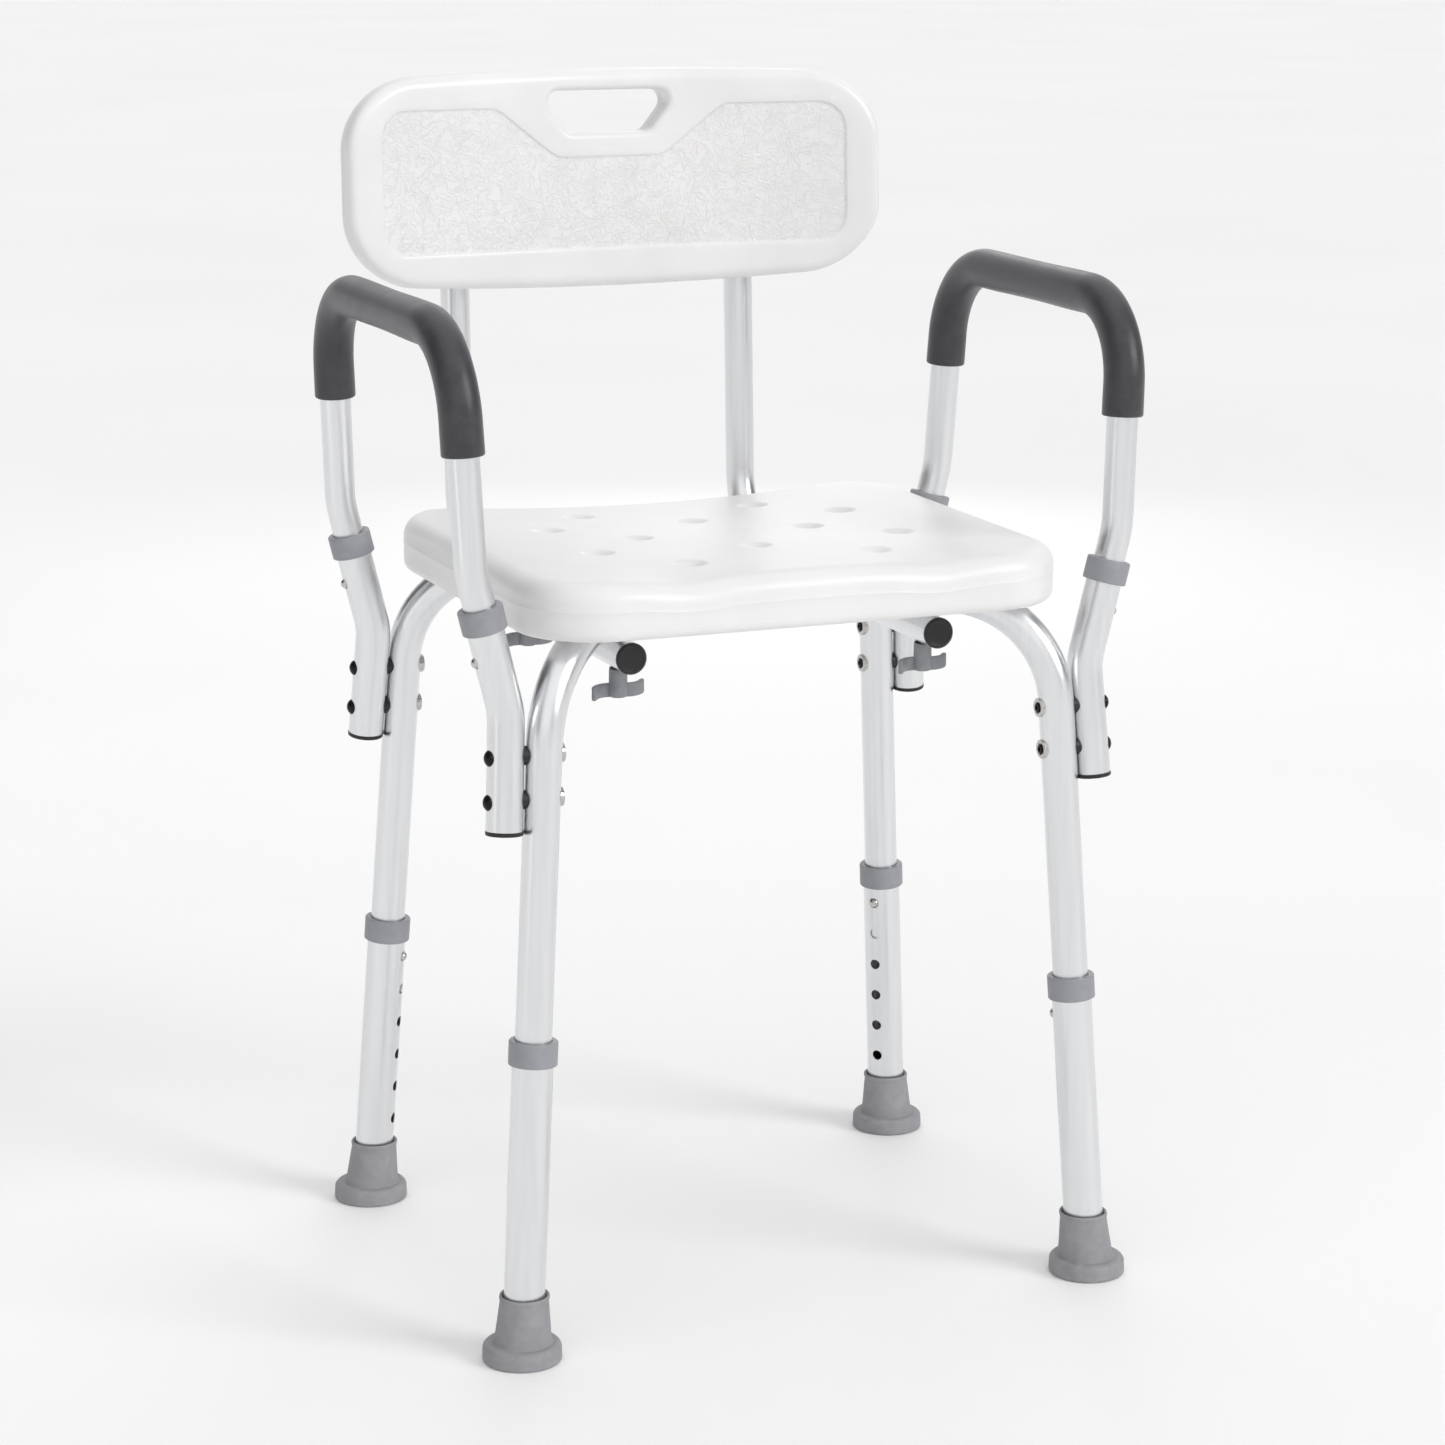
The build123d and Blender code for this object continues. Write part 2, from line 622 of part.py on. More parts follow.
def back_panel():
    """Hollow moulded back with a carrying slot and a sunk field on its front."""
    half = PANEL_THICK / 2
    inner = half - PANEL_SKIN
    form = panel_form(0, half, half)
    slot = rounded_outline(HANDLE, HANDLE_CORNER)
    field = rounded_outline(FIELD, FIELD_CORNER)
    cavity = panel_form(PANEL_SKIN + 2, inner - FIELD_DEPTH, inner) - panel_bar(offset(slot, PANEL_SKIN))
    for sx in SIDES.values():
        for z in BACK_SCREW_Z:
            cavity -= screw_plane(sx, z) * Cylinder(8.0, 90)
    body = fillet(rim_edges(form), PANEL_ROLL) - cavity - panel_bar(slot)
    body -= panel_bar(field) & bowed_wall(half + 5, FIELD_DEPTH - half)
    for sx in SIDES.values():
        path = back_tube_path(sx)
        body -= rod(path, BACK_TUBE_R + PRESS_GAP)
        body -= Plane(origin=path @ 1, z_dir=path % 1) * cylinder(CAP_R + CAP_GAP, -1, CAP_THICK + 1)
        for z in BACK_SCREW_Z:
            body -= screw_plane(sx, z) * cylinder(2.5 + PRESS_GAP, -BACK_TUBE_R - 15, 0)
    return body


def back_screw(sx, z):
    """Pan-head screw through a back tube into the panel."""
    head = dome(4.8, BACK_TUBE_R + 0.1, 2.6)
    return screw_plane(sx, z) * (cylinder(2.5, -BACK_TUBE_R - 14, BACK_TUBE_R + 0.5) + head)


# ---- knobs --------------------------------------------------------------------------------


def wing_knob():
    """Knob with an S-shaped pair of wings, on the z axis."""
    hub = cylinder(KNOB_HUB_R, KNOB_BOTTOM, KNOB_HUB_TOP)
    hub = fillet(hub.edges().group_by(Axis.Z)[0], 1.2)
    wing = SlotArc(ThreePointArc((0, 0), (WING_REACH / 2, -5), (WING_REACH, -1)), WING_THICK)
    wing = extrude(Pos(0, 0, KNOB_BOTTOM) * wing, amount=WING_HEIGHT)
    return hub + wing + Rot(0, 0, 180) * wing - cylinder(STUD_R, KNOB_BOTTOM + 3, KNOB_HUB_TOP)


def knob_stud():
    """Threaded stud moulded into a knob."""
    return cylinder(STUD_R, KNOB_BOTTOM + 3, STUD_TOP)


def knob_washer():
    """Black washer between a knob and the back tube."""
    return ring(KNOB_HUB_R - 0.4, STUD_R + 0.1, KNOB_HUB_TOP + 0.2, BACK_TUBE_Z - BACK_TUBE_R - 0.05)


# ---- the whole chair ----------------------------------------------------------------------


def frame_pieces():
    """Everything that stays put."""
    pieces = {
        "arch_upper": arch(1, 6.1),
        "arch_lower": arch(-1, -6.1),
        "centre_rivet": centre_rivet(),
        "seat": seat(),
        "seat_inserts": [Pos(x, y, 0) * seat_insert() for x, y in knob_points()],
        "back_panel": back_panel(),
        "back_screws": [back_screw(sx, z) for sx in SIDES.values() for z in BACK_SCREW_Z],
        "back_tube_caps": tube_caps(),
        "arm_collars": [arm_plane(sx, sy, ARM_COLLAR_Z) * arm_collar() for sx, sy in CORNERS.values()],
        "arm_socket_plugs": [socket_plug(sx, sy) for sx, sy in CORNERS.values()],
        "arm_bolts": [arm_bolt(*place) for place in bolt_places()],
        "sleeve_nuts": [sleeve_nut(*place) for place in bolt_places()],
        "saddle_washers": [saddle_washer(*place) for place in bolt_places()],
        "saddle_spacers": [saddle_spacer(*place) for place in bolt_places()],
        "knob_washers": [Pos(x, y, 0) * knob_washer() for x, y in knob_points()],
    }
    for side, sx in SIDES.items():
        pieces[f"back_tube_{side}"] = back_tube(sx)
    for corner, (sx, sy) in CORNERS.items():
        pieces[f"arm_socket_{corner}"] = arm_socket(sx, sy)
    return pieces


def corner_pieces(corner, sx, sy):
    """Leg extension, snap clips and knob of one corner."""
    leg = leg_plane(sx, sy)
    knob_place = Pos(sx * BACK_TUBE_X, sy * KNOB_Y, 0)
    leg_clip = snap_clip(ARCH_R - ARCH_WALL, LEG_R + BUTTON_PROUD, 46)
    arm_clip = snap_clip(HOOP_R - HOOP_WALL, SOCKET_R + BUTTON_PROUD, 34)
    return {
        f"leg_tube_{corner}": leg * leg_tube(),
        f"leg_collar_{corner}": leg * leg_collar(),
        f"rubber_foot_{corner}": rubber_foot(sx, sy),
        f"foot_washer_{corner}": leg * foot_washer(),
        f"leg_clip_{corner}": leg * Pos(0, 0, TOP_HOLE) * leg_clip,
        f"arm_clip_{corner}": arm_plane(sx, sy, ARM_BUTTON_Z) * arm_clip,
        f"wing_knob_{corner}": knob_place * Rot(0, 0, 20) * wing_knob(),
        f"knob_stud_{corner}": knob_place * knob_stud(),
    }


def armrest_pieces(side, sx):
    """One lift-off armrest."""
    return {f"arm_hoop_{side}": arm_hoop(sx), f"foam_grip_{side}": foam_grip(sx)}


def as_part(shape):
    """One shape for one file: a group of equal pieces becomes a compound."""
    return Compound(children=shape) if isinstance(shape, list) else shape


def main():
    """Make every piece, centre the chair on its box and write the files."""
    pieces = frame_pieces()
    for corner, (sx, sy) in CORNERS.items():
        pieces.update(corner_pieces(corner, sx, sy))
    for side, sx in SIDES.items():
        pieces.update(armrest_pieces(side, sx))
    parts = {name: as_part(shape) for name, shape in pieces.items()}
    boxes = [part.bounding_box() for part in parts.values()]
    middle_y = (min(box.min.Y for box in boxes) + max(box.max.Y for box in boxes)) / 2
    print(f"moved by {-middle_y:.4f} along Y")
    os.makedirs("parts", exist_ok=True)
    for name, part in parts.items():
        export_step(Pos(0, -middle_y, 0) * part, f"parts/{name}.step")


main()
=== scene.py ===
"""Shower chair: its looks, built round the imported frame.

Sizes are in millimetres and are turned to metres when a mesh is made. +Z is up, the floor is at
z = 0, the front of the chair faces -Y, and left is the -X side.
"""
import json
from math import atan, ceil, cos, pi, radians, sin, sqrt, tan

import bmesh
import bpy
import numpy as np
from mathutils import Matrix, Quaternion, Vector
from mathutils.geometry import delaunay_2d_cdt


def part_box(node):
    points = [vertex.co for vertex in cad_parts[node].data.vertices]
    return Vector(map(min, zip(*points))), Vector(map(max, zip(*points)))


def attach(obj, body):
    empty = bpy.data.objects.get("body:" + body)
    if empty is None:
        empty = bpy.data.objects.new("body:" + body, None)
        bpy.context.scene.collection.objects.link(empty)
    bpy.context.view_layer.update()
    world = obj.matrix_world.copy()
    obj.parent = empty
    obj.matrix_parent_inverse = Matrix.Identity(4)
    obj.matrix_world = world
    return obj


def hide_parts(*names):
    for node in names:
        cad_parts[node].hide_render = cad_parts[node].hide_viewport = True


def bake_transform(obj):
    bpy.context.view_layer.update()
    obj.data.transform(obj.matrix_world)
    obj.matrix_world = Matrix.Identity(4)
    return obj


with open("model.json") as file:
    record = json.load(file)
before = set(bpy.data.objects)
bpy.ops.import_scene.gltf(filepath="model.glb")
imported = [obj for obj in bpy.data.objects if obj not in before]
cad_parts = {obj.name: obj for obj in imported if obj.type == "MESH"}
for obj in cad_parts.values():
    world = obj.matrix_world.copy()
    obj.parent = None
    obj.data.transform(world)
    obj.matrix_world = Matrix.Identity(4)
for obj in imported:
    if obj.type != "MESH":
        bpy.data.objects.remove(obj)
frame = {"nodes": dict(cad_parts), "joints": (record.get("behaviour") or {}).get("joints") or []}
bpy.context.view_layer.update()

MM = 0.001
SIDES = {"left": -1, "right": 1}
CORNERS = [(f"{end}_{side}", side) for end in ("front", "rear") for side in SIDES]
OUTLINE_STEP = 4.0

# seat
SEAT_CORNER = 60.0
SEAT_ROLL = 14.0
SEAT_EDGE = 7.5
SEAT_TOP_GAP = 0.6
SEAT_BACK_DIP = 9.0
DISH_HALF = 175.0
THIGH_DIP = 4.2
THIGH_X = 92.0
THIGH_SPREAD = (30.0, 46.0)
DRAINS = [(70, 110), (70, -110), (116, 51), (116, -51), (67, 0)]
MIDDLE_DRAINS = [(0, 60), (0, -60)]
DRAIN_HOLE = 3.0
DRAIN_MOUTH = 12.5
DRAIN_DEPTH = 5.2
ARCH_R = 12.7
ARCH_BEND = 77.5
GROOVE_GAP = 0.5
CHANNEL_DROP = 90.0
CROSSING_R = 23.2
CROSSING_DEPTH = 15.4

# back
BACK_LEAN = 0.048
PANEL_CORNER = 58.0
PANEL_THICK = 28.0
PANEL_BOW = 833.0
PANEL_ROLL = 9.0
LOW_RISE = (3.0, 9.0)
TOP_DROP = (1.1, 6.0)
SLOT_HALF = (58.5, 33.0)
SLOT_DEPTHS = (17.0, 49.0)
SLOT_CORNER = 9.0
SLOT_ROLL = 5.0
FIELD_HALF = 188.0
FIELD_LOW = 33.0
FIELD_HIGH = 29.0
NOTCH_HALF = (92.0, 43.0)
NOTCH_DEPTH = 67.0
FIELD_CORNER = 21.0
FIELD_STEP = 1.5
BACK_TUBE_R = 11.1
BACK_TUBE_X = 117.0
RELIEF_R = 11.4
RELIEF_DEPTH = 4
LANE_HALF = 12
LANE_CORNER = 11.0

# legs, feet and buttons
LEG_SLOPE = 0.0762
LEG_R = 14.3
ARCH_BORE = 11.5
TOP_HOLE = 196.1
BUTTON_R = 3.7
BUTTON_PROUD = 2.5
BUTTON_LENGTH = 8.5
SOCKET_R = 12.7
ARM_BORE = 9.9
ARM_BUTTON_Z = 490.0
LEAF_WIDTH = 7.0
LEAF_THICK = 0.6

# foam grips
GRIP_R = 14.8
HOOP_R = 11.1
GRIP_DRAW_IN = 3.65
GRIP_BEND = 60.0
GRIP_END = 3.6

# knobs
HUB_R = 6.6
WING_HEIGHT = 9.8
WING_REACH = 21.0
WING_BOW = 19.0
WING_THICK = 3.6
WING_SOFT = 0.9

# nuts
NUT_HEAD = 1.8
NUT_SIDES = 36
HEXAGON_R = 1.9


def box(node):
    """Lowest and highest corner of a frame node, in millimetres."""
    low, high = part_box(node)
    return low / MM, high / MM


def centre_of(node):
    """Middle of a frame node's box, in millimetres."""
    low, high = box(node)
    return (low + high) / 2


def joint(name):
    """A joint of the record by its name."""
    return next(j for j in frame["joints"] if j["name"] == name)


# ---- nodes and materials ------------------------------------------------------------------


def linear(colour):
    """Linear colour and alpha from an sRGB hex value."""
    parts = [int(colour[i:i + 2], 16) / 255 for i in (1, 3, 5)]
    parts = [c / 12.92 if c <= 0.04045 else ((c + 0.055) / 1.055) ** 2.4 for c in parts]
    return (*parts, 1.0)


def per_mm(size):
    """Texture scale that makes a feature this many millimetres wide."""
    return 1 / (size * MM)


def add(tree, kind, inputs=None, **settings):
    """Add a node, set its properties, and give each input a value or a link."""
    made = tree.nodes.new(kind)
    for key, value in settings.items():
        setattr(made, key, value)
    for key, value in (inputs or {}).items():
        if isinstance(value, bpy.types.NodeSocket):
            tree.links.new(value, made.inputs[key])
        else:
            made.inputs[key].default_value = value
    return made


def maths(tree, operation, *values):
    """Output of a math node on values or links."""
    return add(tree, "ShaderNodeMath", dict(enumerate(values)), operation=operation).outputs[0]


def vectors(tree, operation, *values, **named):
    """Output of a vector math node on values or links."""
    made = add(tree, "ShaderNodeVectorMath", {**dict(enumerate(values)), **named}, operation=operation)
    return made.outputs["Value" if operation == "DOT_PRODUCT" else "Vector"]


def ranged(tree, value, limits, results=(0.0, 1.0), kind="LINEAR"):
    """Output of a node that maps the limits to the results."""
    inputs = {"Value": value, "From Min": limits[0], "From Max": limits[1],
              "To Min": results[0], "To Max": results[1]}
    return add(tree, "ShaderNodeMapRange", inputs, interpolation_type=kind).outputs[0]


def noise(tree, place, size, detail, **more):
    """Output of a noise with features of a size in millimetres."""
    inputs = {"Vector": place, "Scale": per_mm(size), "Detail": detail, **more}
    return add(tree, "ShaderNodeTexNoise", inputs).outputs[0]


def bumped(tree, shader, height, strength, depth, **more):
    """Bump a shader's surface by a height, whose full depth is in millimetres."""
    inputs = {"Height": height, "Strength": strength, "Distance": depth * MM, **more}
    tree.links.new(add(tree, "ShaderNodeBump", inputs).outputs[0], shader.inputs["Normal"])


def start_material(name, fixed):
    """Material with one Principled shader, whose fixed values sit on its own sockets."""
    made = bpy.data.materials.new(name)
    made.use_nodes = True
    tree = made.node_tree
    tree.nodes.clear()
    shader = add(tree, "ShaderNodeBsdfPrincipled", fixed)
    add(tree, "ShaderNodeOutputMaterial", {"Surface": shader.outputs[0]})
    place = add(tree, "ShaderNodeTexCoord").outputs["Object"]
    return made, tree, shader, place


def vary(tree, shader, cloud, colours, roughness):
    """Drive colour and roughness between two values each from the middle third of a noise."""
    third = (0.33, 0.67)
    tint = add(tree, "ShaderNodeMix", {0: ranged(tree, cloud, third), 6: linear(colours[0]),
                                       7: linear(colours[1])}, data_type="RGBA")
    tree.links.new(tint.outputs[2], shader.inputs["Base Color"])
    tree.links.new(ranged(tree, cloud, third, roughness), shader.inputs["Roughness"])


def satin_aluminium():
    """Drawn tube, etched and clear anodised: bright, with soft wide highlights and a faint grain."""
    made, tree, shader, place = start_material("anodised_aluminium_satin", {"Metallic": 1.0})
    drawn = vectors(tree, "MULTIPLY", place, (1.0, 1.0, 0.03))
    vary(tree, shader, noise(tree, drawn, 5, 2.0), ("#E2E3E5", "#E7E8E9"), (0.29, 0.32))
    # the etch is about 0.05 mm and is drawn at 0.5 mm, the finest that shows
    bumped(tree, shader, noise(tree, place, 0.5, 2.0), 0.05, 0.02)
    return made


def white_polyethylene(name, relief):
    """Blow-moulded white polyethylene: slightly waxy gloss, light glowing a little way in."""
    fixed = {"IOR": 1.51, "Subsurface Weight": 0.08, "Subsurface Radius": (1.0, 0.9, 0.8),
             "Subsurface Scale": 4 * MM}
    made, tree, shader, place = start_material(name, fixed)
    vary(tree, shader, noise(tree, place, 60, 4.0), ("#E5E4E4", "#EAE9E9"), (0.3, 0.36))
    # the grained field is a little duller than its border
    field = add(tree, "ShaderNodeAttribute", attribute_name="field").outputs["Fac"]
    border = shader.inputs["Roughness"].links[0].from_socket
    tree.links.new(maths(tree, "MULTIPLY_ADD", field, 0.08, border), shader.inputs["Roughness"])
    # slow unevenness of a blown skin as it shrinks
    sink = add(tree, "ShaderNodeBump", {"Height": noise(tree, place, 38, 1.0), "Strength": 0.35,
                                        "Distance": 0.5 * MM})
    height, depth = relief(tree, place)
    bumped(tree, shader, maths(tree, "MULTIPLY", height, field), 0.6, depth, Normal=sink.outputs[0])
    return made


def stipple(tree, place):
    """Sand-blast stipple of the seat's top, with grains of about 1.6 mm, and its depth."""
    return noise(tree, place, 1.6, 3.0, Roughness=0.7), 0.35


def leather_creases(tree, place):
    """Crinkled leather grain of the back, coarse creases over fine ones, and its depth."""
    ridges = []
    for size, width in ((17, 0.035), (9, 0.045)):
        folds = noise(tree, place, size, 1.5, Distortion=1.6)
        near = maths(tree, "ABSOLUTE", maths(tree, "SUBTRACT", folds, 0.5))
        ridges.append(ranged(tree, near, (0.0, width), (1.0, 0.0), "SMOOTHSTEP"))
    return maths(tree, "MAXIMUM", *ridges), 0.55


def closed_cell_foam():
    """Charcoal closed-cell foam: matt skin with tiny open pores and a soft sheen."""
    made, tree, shader, place = start_material(
        "nitrile_foam_charcoal", {"IOR": 1.45, "Sheen Weight": 0.35, "Sheen Roughness": 0.45,
                                  "Sheen Tint": linear("#B9B9BE"), "Specular IOR Level": 0.55})
    vary(tree, shader, noise(tree, place, 14, 6.0, Roughness=0.65), ("#333337", "#3E3E42"), (0.36, 0.46))
    pores = add(tree, "ShaderNodeTexVoronoi", {"Vector": place, "Scale": per_mm(1.1)}, feature="SMOOTH_F1")
    bumped(tree, shader, pores.outputs["Distance"], 0.35, 0.25)
    return made


def moulded(name, colours, roughness, grain, depth, ior=1.46):
    """Injection-moulded part: even colour with faint flow marks and a fine spark-eroded grain."""
    made, tree, shader, place = start_material(name, {"IOR": ior})
    vary(tree, shader, noise(tree, place, 11, 5.0, Distortion=0.8), colours, roughness)
    bumped(tree, shader, noise(tree, place, grain, 3.0), 0.4, depth)
    return made


def plated(name, colours, roughness, metallic=1.0):
    """Small metal fastener: smooth plating with fine handling marks."""
    made, tree, shader, place = start_material(name, {"Metallic": metallic})
    marks = noise(tree, place, 2.5, 6.0, Roughness=0.7)
    vary(tree, shader, marks, colours, roughness)
    bumped(tree, shader, marks, 0.2, 0.03)
    return made


ALUMINIUM = satin_aluminium()
SEAT_WHITE = white_polyethylene("polyethylene_stippled", stipple)
BACK_WHITE = white_polyethylene("polyethylene_leather_grain", leather_creases)
FOAM = closed_cell_foam()
# collars: mid-grey nylon, dull and slightly cool
COLLAR_GREY = moulded("nylon_grey", ("#909196", "#97989D"), (0.42, 0.5), 0.6, 0.04)
# knobs: a shade darker, glass-filled, so rougher
KNOB_GREY = moulded("glass_filled_nylon_grey", ("#85868A", "#8E8F93"), (0.45, 0.55), 0.7, 0.06)
# feet: dry rubber with a bloom that lightens it in clouds
FOOT_GREY = moulded("moulded_rubber_grey", ("#8E8E92", "#99999C"), (0.62, 0.74), 0.9, 0.08, ior=1.52)
# plugs, caps and spacers: black polyethylene with a dull face
PLUG_BLACK = moulded("polyethylene_black", ("#19191B", "#242427"), (0.38, 0.5), 0.8, 0.12)
# bolts and nuts: black oxide with an oily gleam
BOLT_BLACK = plated("black_oxide_steel", ("#0C0C0D", "#19191A"), (0.3, 0.42), metallic=0.6)
# buttons, clips, washers and screws: bright nickel, warm grey
NICKEL = plated("nickel_plated_steel", ("#BDBBB7", "#CBC9C6"), (0.2, 0.3))
# threaded inserts: turned brass, dulled
BRASS = plated("turned_brass", ("#B08D4A", "#C9A55E"), (0.28, 0.4))


# ---- meshes -------------------------------------------------------------------------------


class Skin:
    """A surface under construction: its points in millimetres, and the faces between them."""

    def __init__(self):
        self.points = []
        self.faces = []

    def row(self, points):
        """Add points and return their numbers."""
        first = len(self.points)
        self.points += [Vector(p) for p in points]
        return list(range(first, len(self.points)))

    def band(self, a, b):
        """Close the gap between two closed rows, one of which may be a single point."""
        count = max(len(a), len(b))
        for i in range(count):
            j = (i + 1) % count
            corners = [a[i % len(a)], a[j % len(a)], b[j % len(b)], b[i % len(b)]]
            self.faces.append(list(dict.fromkeys(corners)))

    def bands(self, rows, capped=False):
        """Close the gaps between rows in turn, and the first and last row too if they are capped."""
        for a, b in zip(rows, rows[1:]):
            self.band(a, b)
        if capped:
            self.faces += [rows[0], rows[-1]]

    def turned(self, profile, place=Vector, sides=48):
        """Turn a profile of (radius, height) about the z axis of a place; radius 0 is a pole."""
        rows = []
        for radius, height in profile:
            turns = [2 * pi * i / sides for i in range(sides if radius > 0 else 1)]
            rows.append(self.row([place(Vector((radius * cos(t), radius * sin(t), height))) for t in turns]))
        self.bands(rows)

    def piece(self, name, material, sharp=38, marks=None):
        """Make the object, with faces outwards and edges over the sharp angle kept crisp."""
        mesh = bpy.data.meshes.new(name)
        mesh.from_pydata([p * MM for p in self.points], [], self.faces)
        if marks is not None:
            mesh.attributes.new("field", "FLOAT", "POINT").data.foreach_set("value", marks)
        faced_out(mesh)
        mesh.materials.append(material)
        made = bpy.data.objects.new(name, mesh)
        bpy.context.scene.collection.objects.link(made)
        return smoothed(made, sharp)


def faced_out(mesh, gap=0.0):
    """Turn every face of a mesh outwards, once points within a gap in millimetres are joined."""
    shape = bmesh.new()
    shape.from_mesh(mesh)
    if gap:
        bmesh.ops.remove_doubles(shape, verts=shape.verts, dist=gap * MM)
    bmesh.ops.recalc_face_normals(shape, faces=shape.faces)
    shape.to_mesh(mesh)
    shape.free()


def smoothed(piece, sharp):
    """Shade a piece smooth, with edges over the sharp angle kept crisp."""
    piece.data.shade_smooth()
    piece.data.set_sharp_from_angle(angle=radians(sharp))
    return piece


def rounded(points, radius, step, closed=False):
    """Path through points with every corner rounded, and points about a step apart."""
    points = [Vector((*p, 0.0)[:3]) for p in points]
    corners = range(len(points)) if closed else range(1, len(points) - 1)
    stretches = [] if closed else [[points[0]]]
    for i in corners:
        corner = points[i]
        back = (points[i - 1] - corner).normalized()
        ahead = (points[(i + 1) % len(points)] - corner).normalized()
        half = back.angle(ahead) / 2
        centre = corner + (back + ahead).normalized() * (radius / sin(half))
        spoke = corner + back * (radius / tan(half)) - centre
        swing = spoke.rotation_difference(corner + ahead * (radius / tan(half)) - centre)
        count = max(2, ceil(radius * swing.angle / step))
        stretches.append([centre + Quaternion(swing.axis, swing.angle * k / count) @ spoke
                          for k in range(count + 1)])
    stretches.append([stretches[0][0]] if closed else [points[-1]])
    path = []
    for here, following in zip(stretches, stretches[1:]):
        path += here
        gap = following[0] - here[-1]
        count = max(1, ceil(gap.length / step))
        path += [here[-1] + gap * (k / count) for k in range(1, count)]
    return path if closed else path + stretches[-1]

def rounded_block(low, high, radius):
    """Closed rounded outline of the rectangle between two flat points."""
    (left, bottom), (right, top) = low, high
    corners = [(left, bottom), (right, bottom), (right, top), (left, top)]
    return rounded(corners, radius, OUTLINE_STEP, closed=True)
def headings(path):
    """Direction of an open path at each of its points."""
    ends = zip([path[0], *path[:-1]], [*path[1:], path[-1]])
    return [(after - before).normalized() for before, after in ends]


def both_sides(path, thick):
    """The two sides of an open flat path that is given a thickness."""
    across = [Vector((-along.y, along.x, 0)) * (thick / 2) for along in headings(path)]
    return [p + a for p, a in zip(path, across)], [p - a for p, a in zip(path, across)]


def shrunk(loop, inset):
    """Closed flat path moved inwards by an inset, or outwards by a negative one."""
    flat = np.array([p[:2] for p in loop], float)
    along = np.roll(flat, -1, 0) - np.roll(flat, 1, 0)
    along /= np.linalg.norm(along, axis=1)[:, None]
    area = np.sum(flat[:, 0] * np.roll(flat[:, 1], -1) - flat[:, 1] * np.roll(flat[:, 0], -1))
    inwards = np.stack([-along[:, 1], along[:, 0]], 1) * np.sign(area)
    return flat + inwards * inset


def depth_in(points, loop):
    """Distance from flat points to a closed path, positive inside it."""
    points = np.asarray(points, float)
    starts = np.array([p[:2] for p in loop], float)
    ends = np.roll(starts, -1, 0)
    nearest = np.full(len(points), 1e9)
    inside = np.zeros(len(points), bool)
    for a, b in zip(starts, ends):
        side = b - a
        share = np.clip(((points - a) @ side) / max(side @ side, 1e-12), 0, 1)
        nearest = np.minimum(nearest, np.linalg.norm(points - a - share[:, None] * side, axis=1))
        if a[1] != b[1]:
            crosses = (points[:, 1] < a[1]) != (points[:, 1] < b[1])
            inside ^= crosses & (points[:, 0] < a[0] + side[0] * (points[:, 1] - a[1]) / side[1])
    return np.where(inside, nearest, -nearest)


def fill(outline, holes, features, step):
    """Triangles over an outline less its holes, with points along each feature path."""
    loops = [np.asarray(loop, float) for loop in [outline, *holes, *features]]
    low, high = loops[0].min(0), loops[0].max(0)
    rows = np.arange(low[1], high[1], step * sqrt(3) / 2)
    grid = np.array([(x + (k % 2) * step / 2, y) for k, y in enumerate(rows)
                     for x in np.arange(low[0], high[0], step)])
    clear = depth_in(grid, loops[0]) > step * 0.5
    for loop in loops[1:]:
        clear &= np.abs(depth_in(grid, loop)) > step * 0.5
    for loop in loops[1:len(holes) + 1]:
        clear &= depth_in(grid, loop) < 0
    points = np.concatenate([*loops, grid[clear]])
    edges, first = [], 0
    for loop in loops:
        count = len(loop)
        edges += [(first + i, first + (i + 1) % count) for i in range(count)]
        first += count
    made = delaunay_2d_cdt([Vector(p) for p in points], edges, [], 1, 1e-5)
    corners, faces = np.array([p[:] for p in made[0]]), np.array(made[2])
    middles = corners[faces].mean(1)
    keep = depth_in(middles, loops[0]) > 0
    for hole in loops[1:len(holes) + 1]:
        keep &= depth_in(middles, hole) < 0
    return corners, faces[keep]


def roll_steps(radius, count=8):
    """Inset and drop of each row of a quarter-round edge, from its flat end to its wall."""
    turns = [pi / 2 * k / count for k in range(count + 1)]
    return [(radius * (1 - sin(t)), radius * (1 - cos(t))) for t in turns]


def made_real(piece):
    """Swap a piece's mesh for what its modifiers make of it, and take the modifiers off."""
    graph = bpy.context.evaluated_depsgraph_get()
    final = bpy.data.meshes.new_from_object(piece.evaluated_get(graph), preserve_all_data_layers=True,
                                            depsgraph=graph)
    piece.modifiers.clear()
    piece.data = final
    return piece


# ---- geometry node trees ------------------------------------------------------------------


def start_tree(name, sockets):
    """Geometry tree with a geometry input and output and named inputs for its sizes."""
    tree = bpy.data.node_groups.new(name, "GeometryNodeTree")
    tree.interface.new_socket("Geometry", in_out="INPUT", socket_type="NodeSocketGeometry")
    tree.interface.new_socket("Geometry", in_out="OUTPUT", socket_type="NodeSocketGeometry")
    for label, kind in sockets.items():
        tree.interface.new_socket(label, in_out="INPUT", socket_type="NodeSocket" + kind)
    return tree, add(tree, "NodeGroupInput").outputs


def end_tree(tree, geometry, material):
    """Realise what the tree made, give it its material, and send it out."""
    whole = add(tree, "GeometryNodeRealizeInstances", {"Geometry": geometry})
    painted = add(tree, "GeometryNodeSetMaterial", {"Geometry": whole.outputs[0], "Material": material})
    add(tree, "NodeGroupOutput", {"Geometry": painted.outputs[0]})
    return tree


def run_tree(piece, tree, values):
    """Put a tree on a piece, set its inputs by their identifiers, and keep the result."""
    modifier = piece.modifiers.new(tree.name, "NODES")
    modifier.node_group = tree
    inputs = {s.name: s.identifier for s in tree.interface.items_tree if s.in_out == "INPUT"}
    for label, value in values.items():
        modifier[inputs[label]] = value
    return made_real(piece)


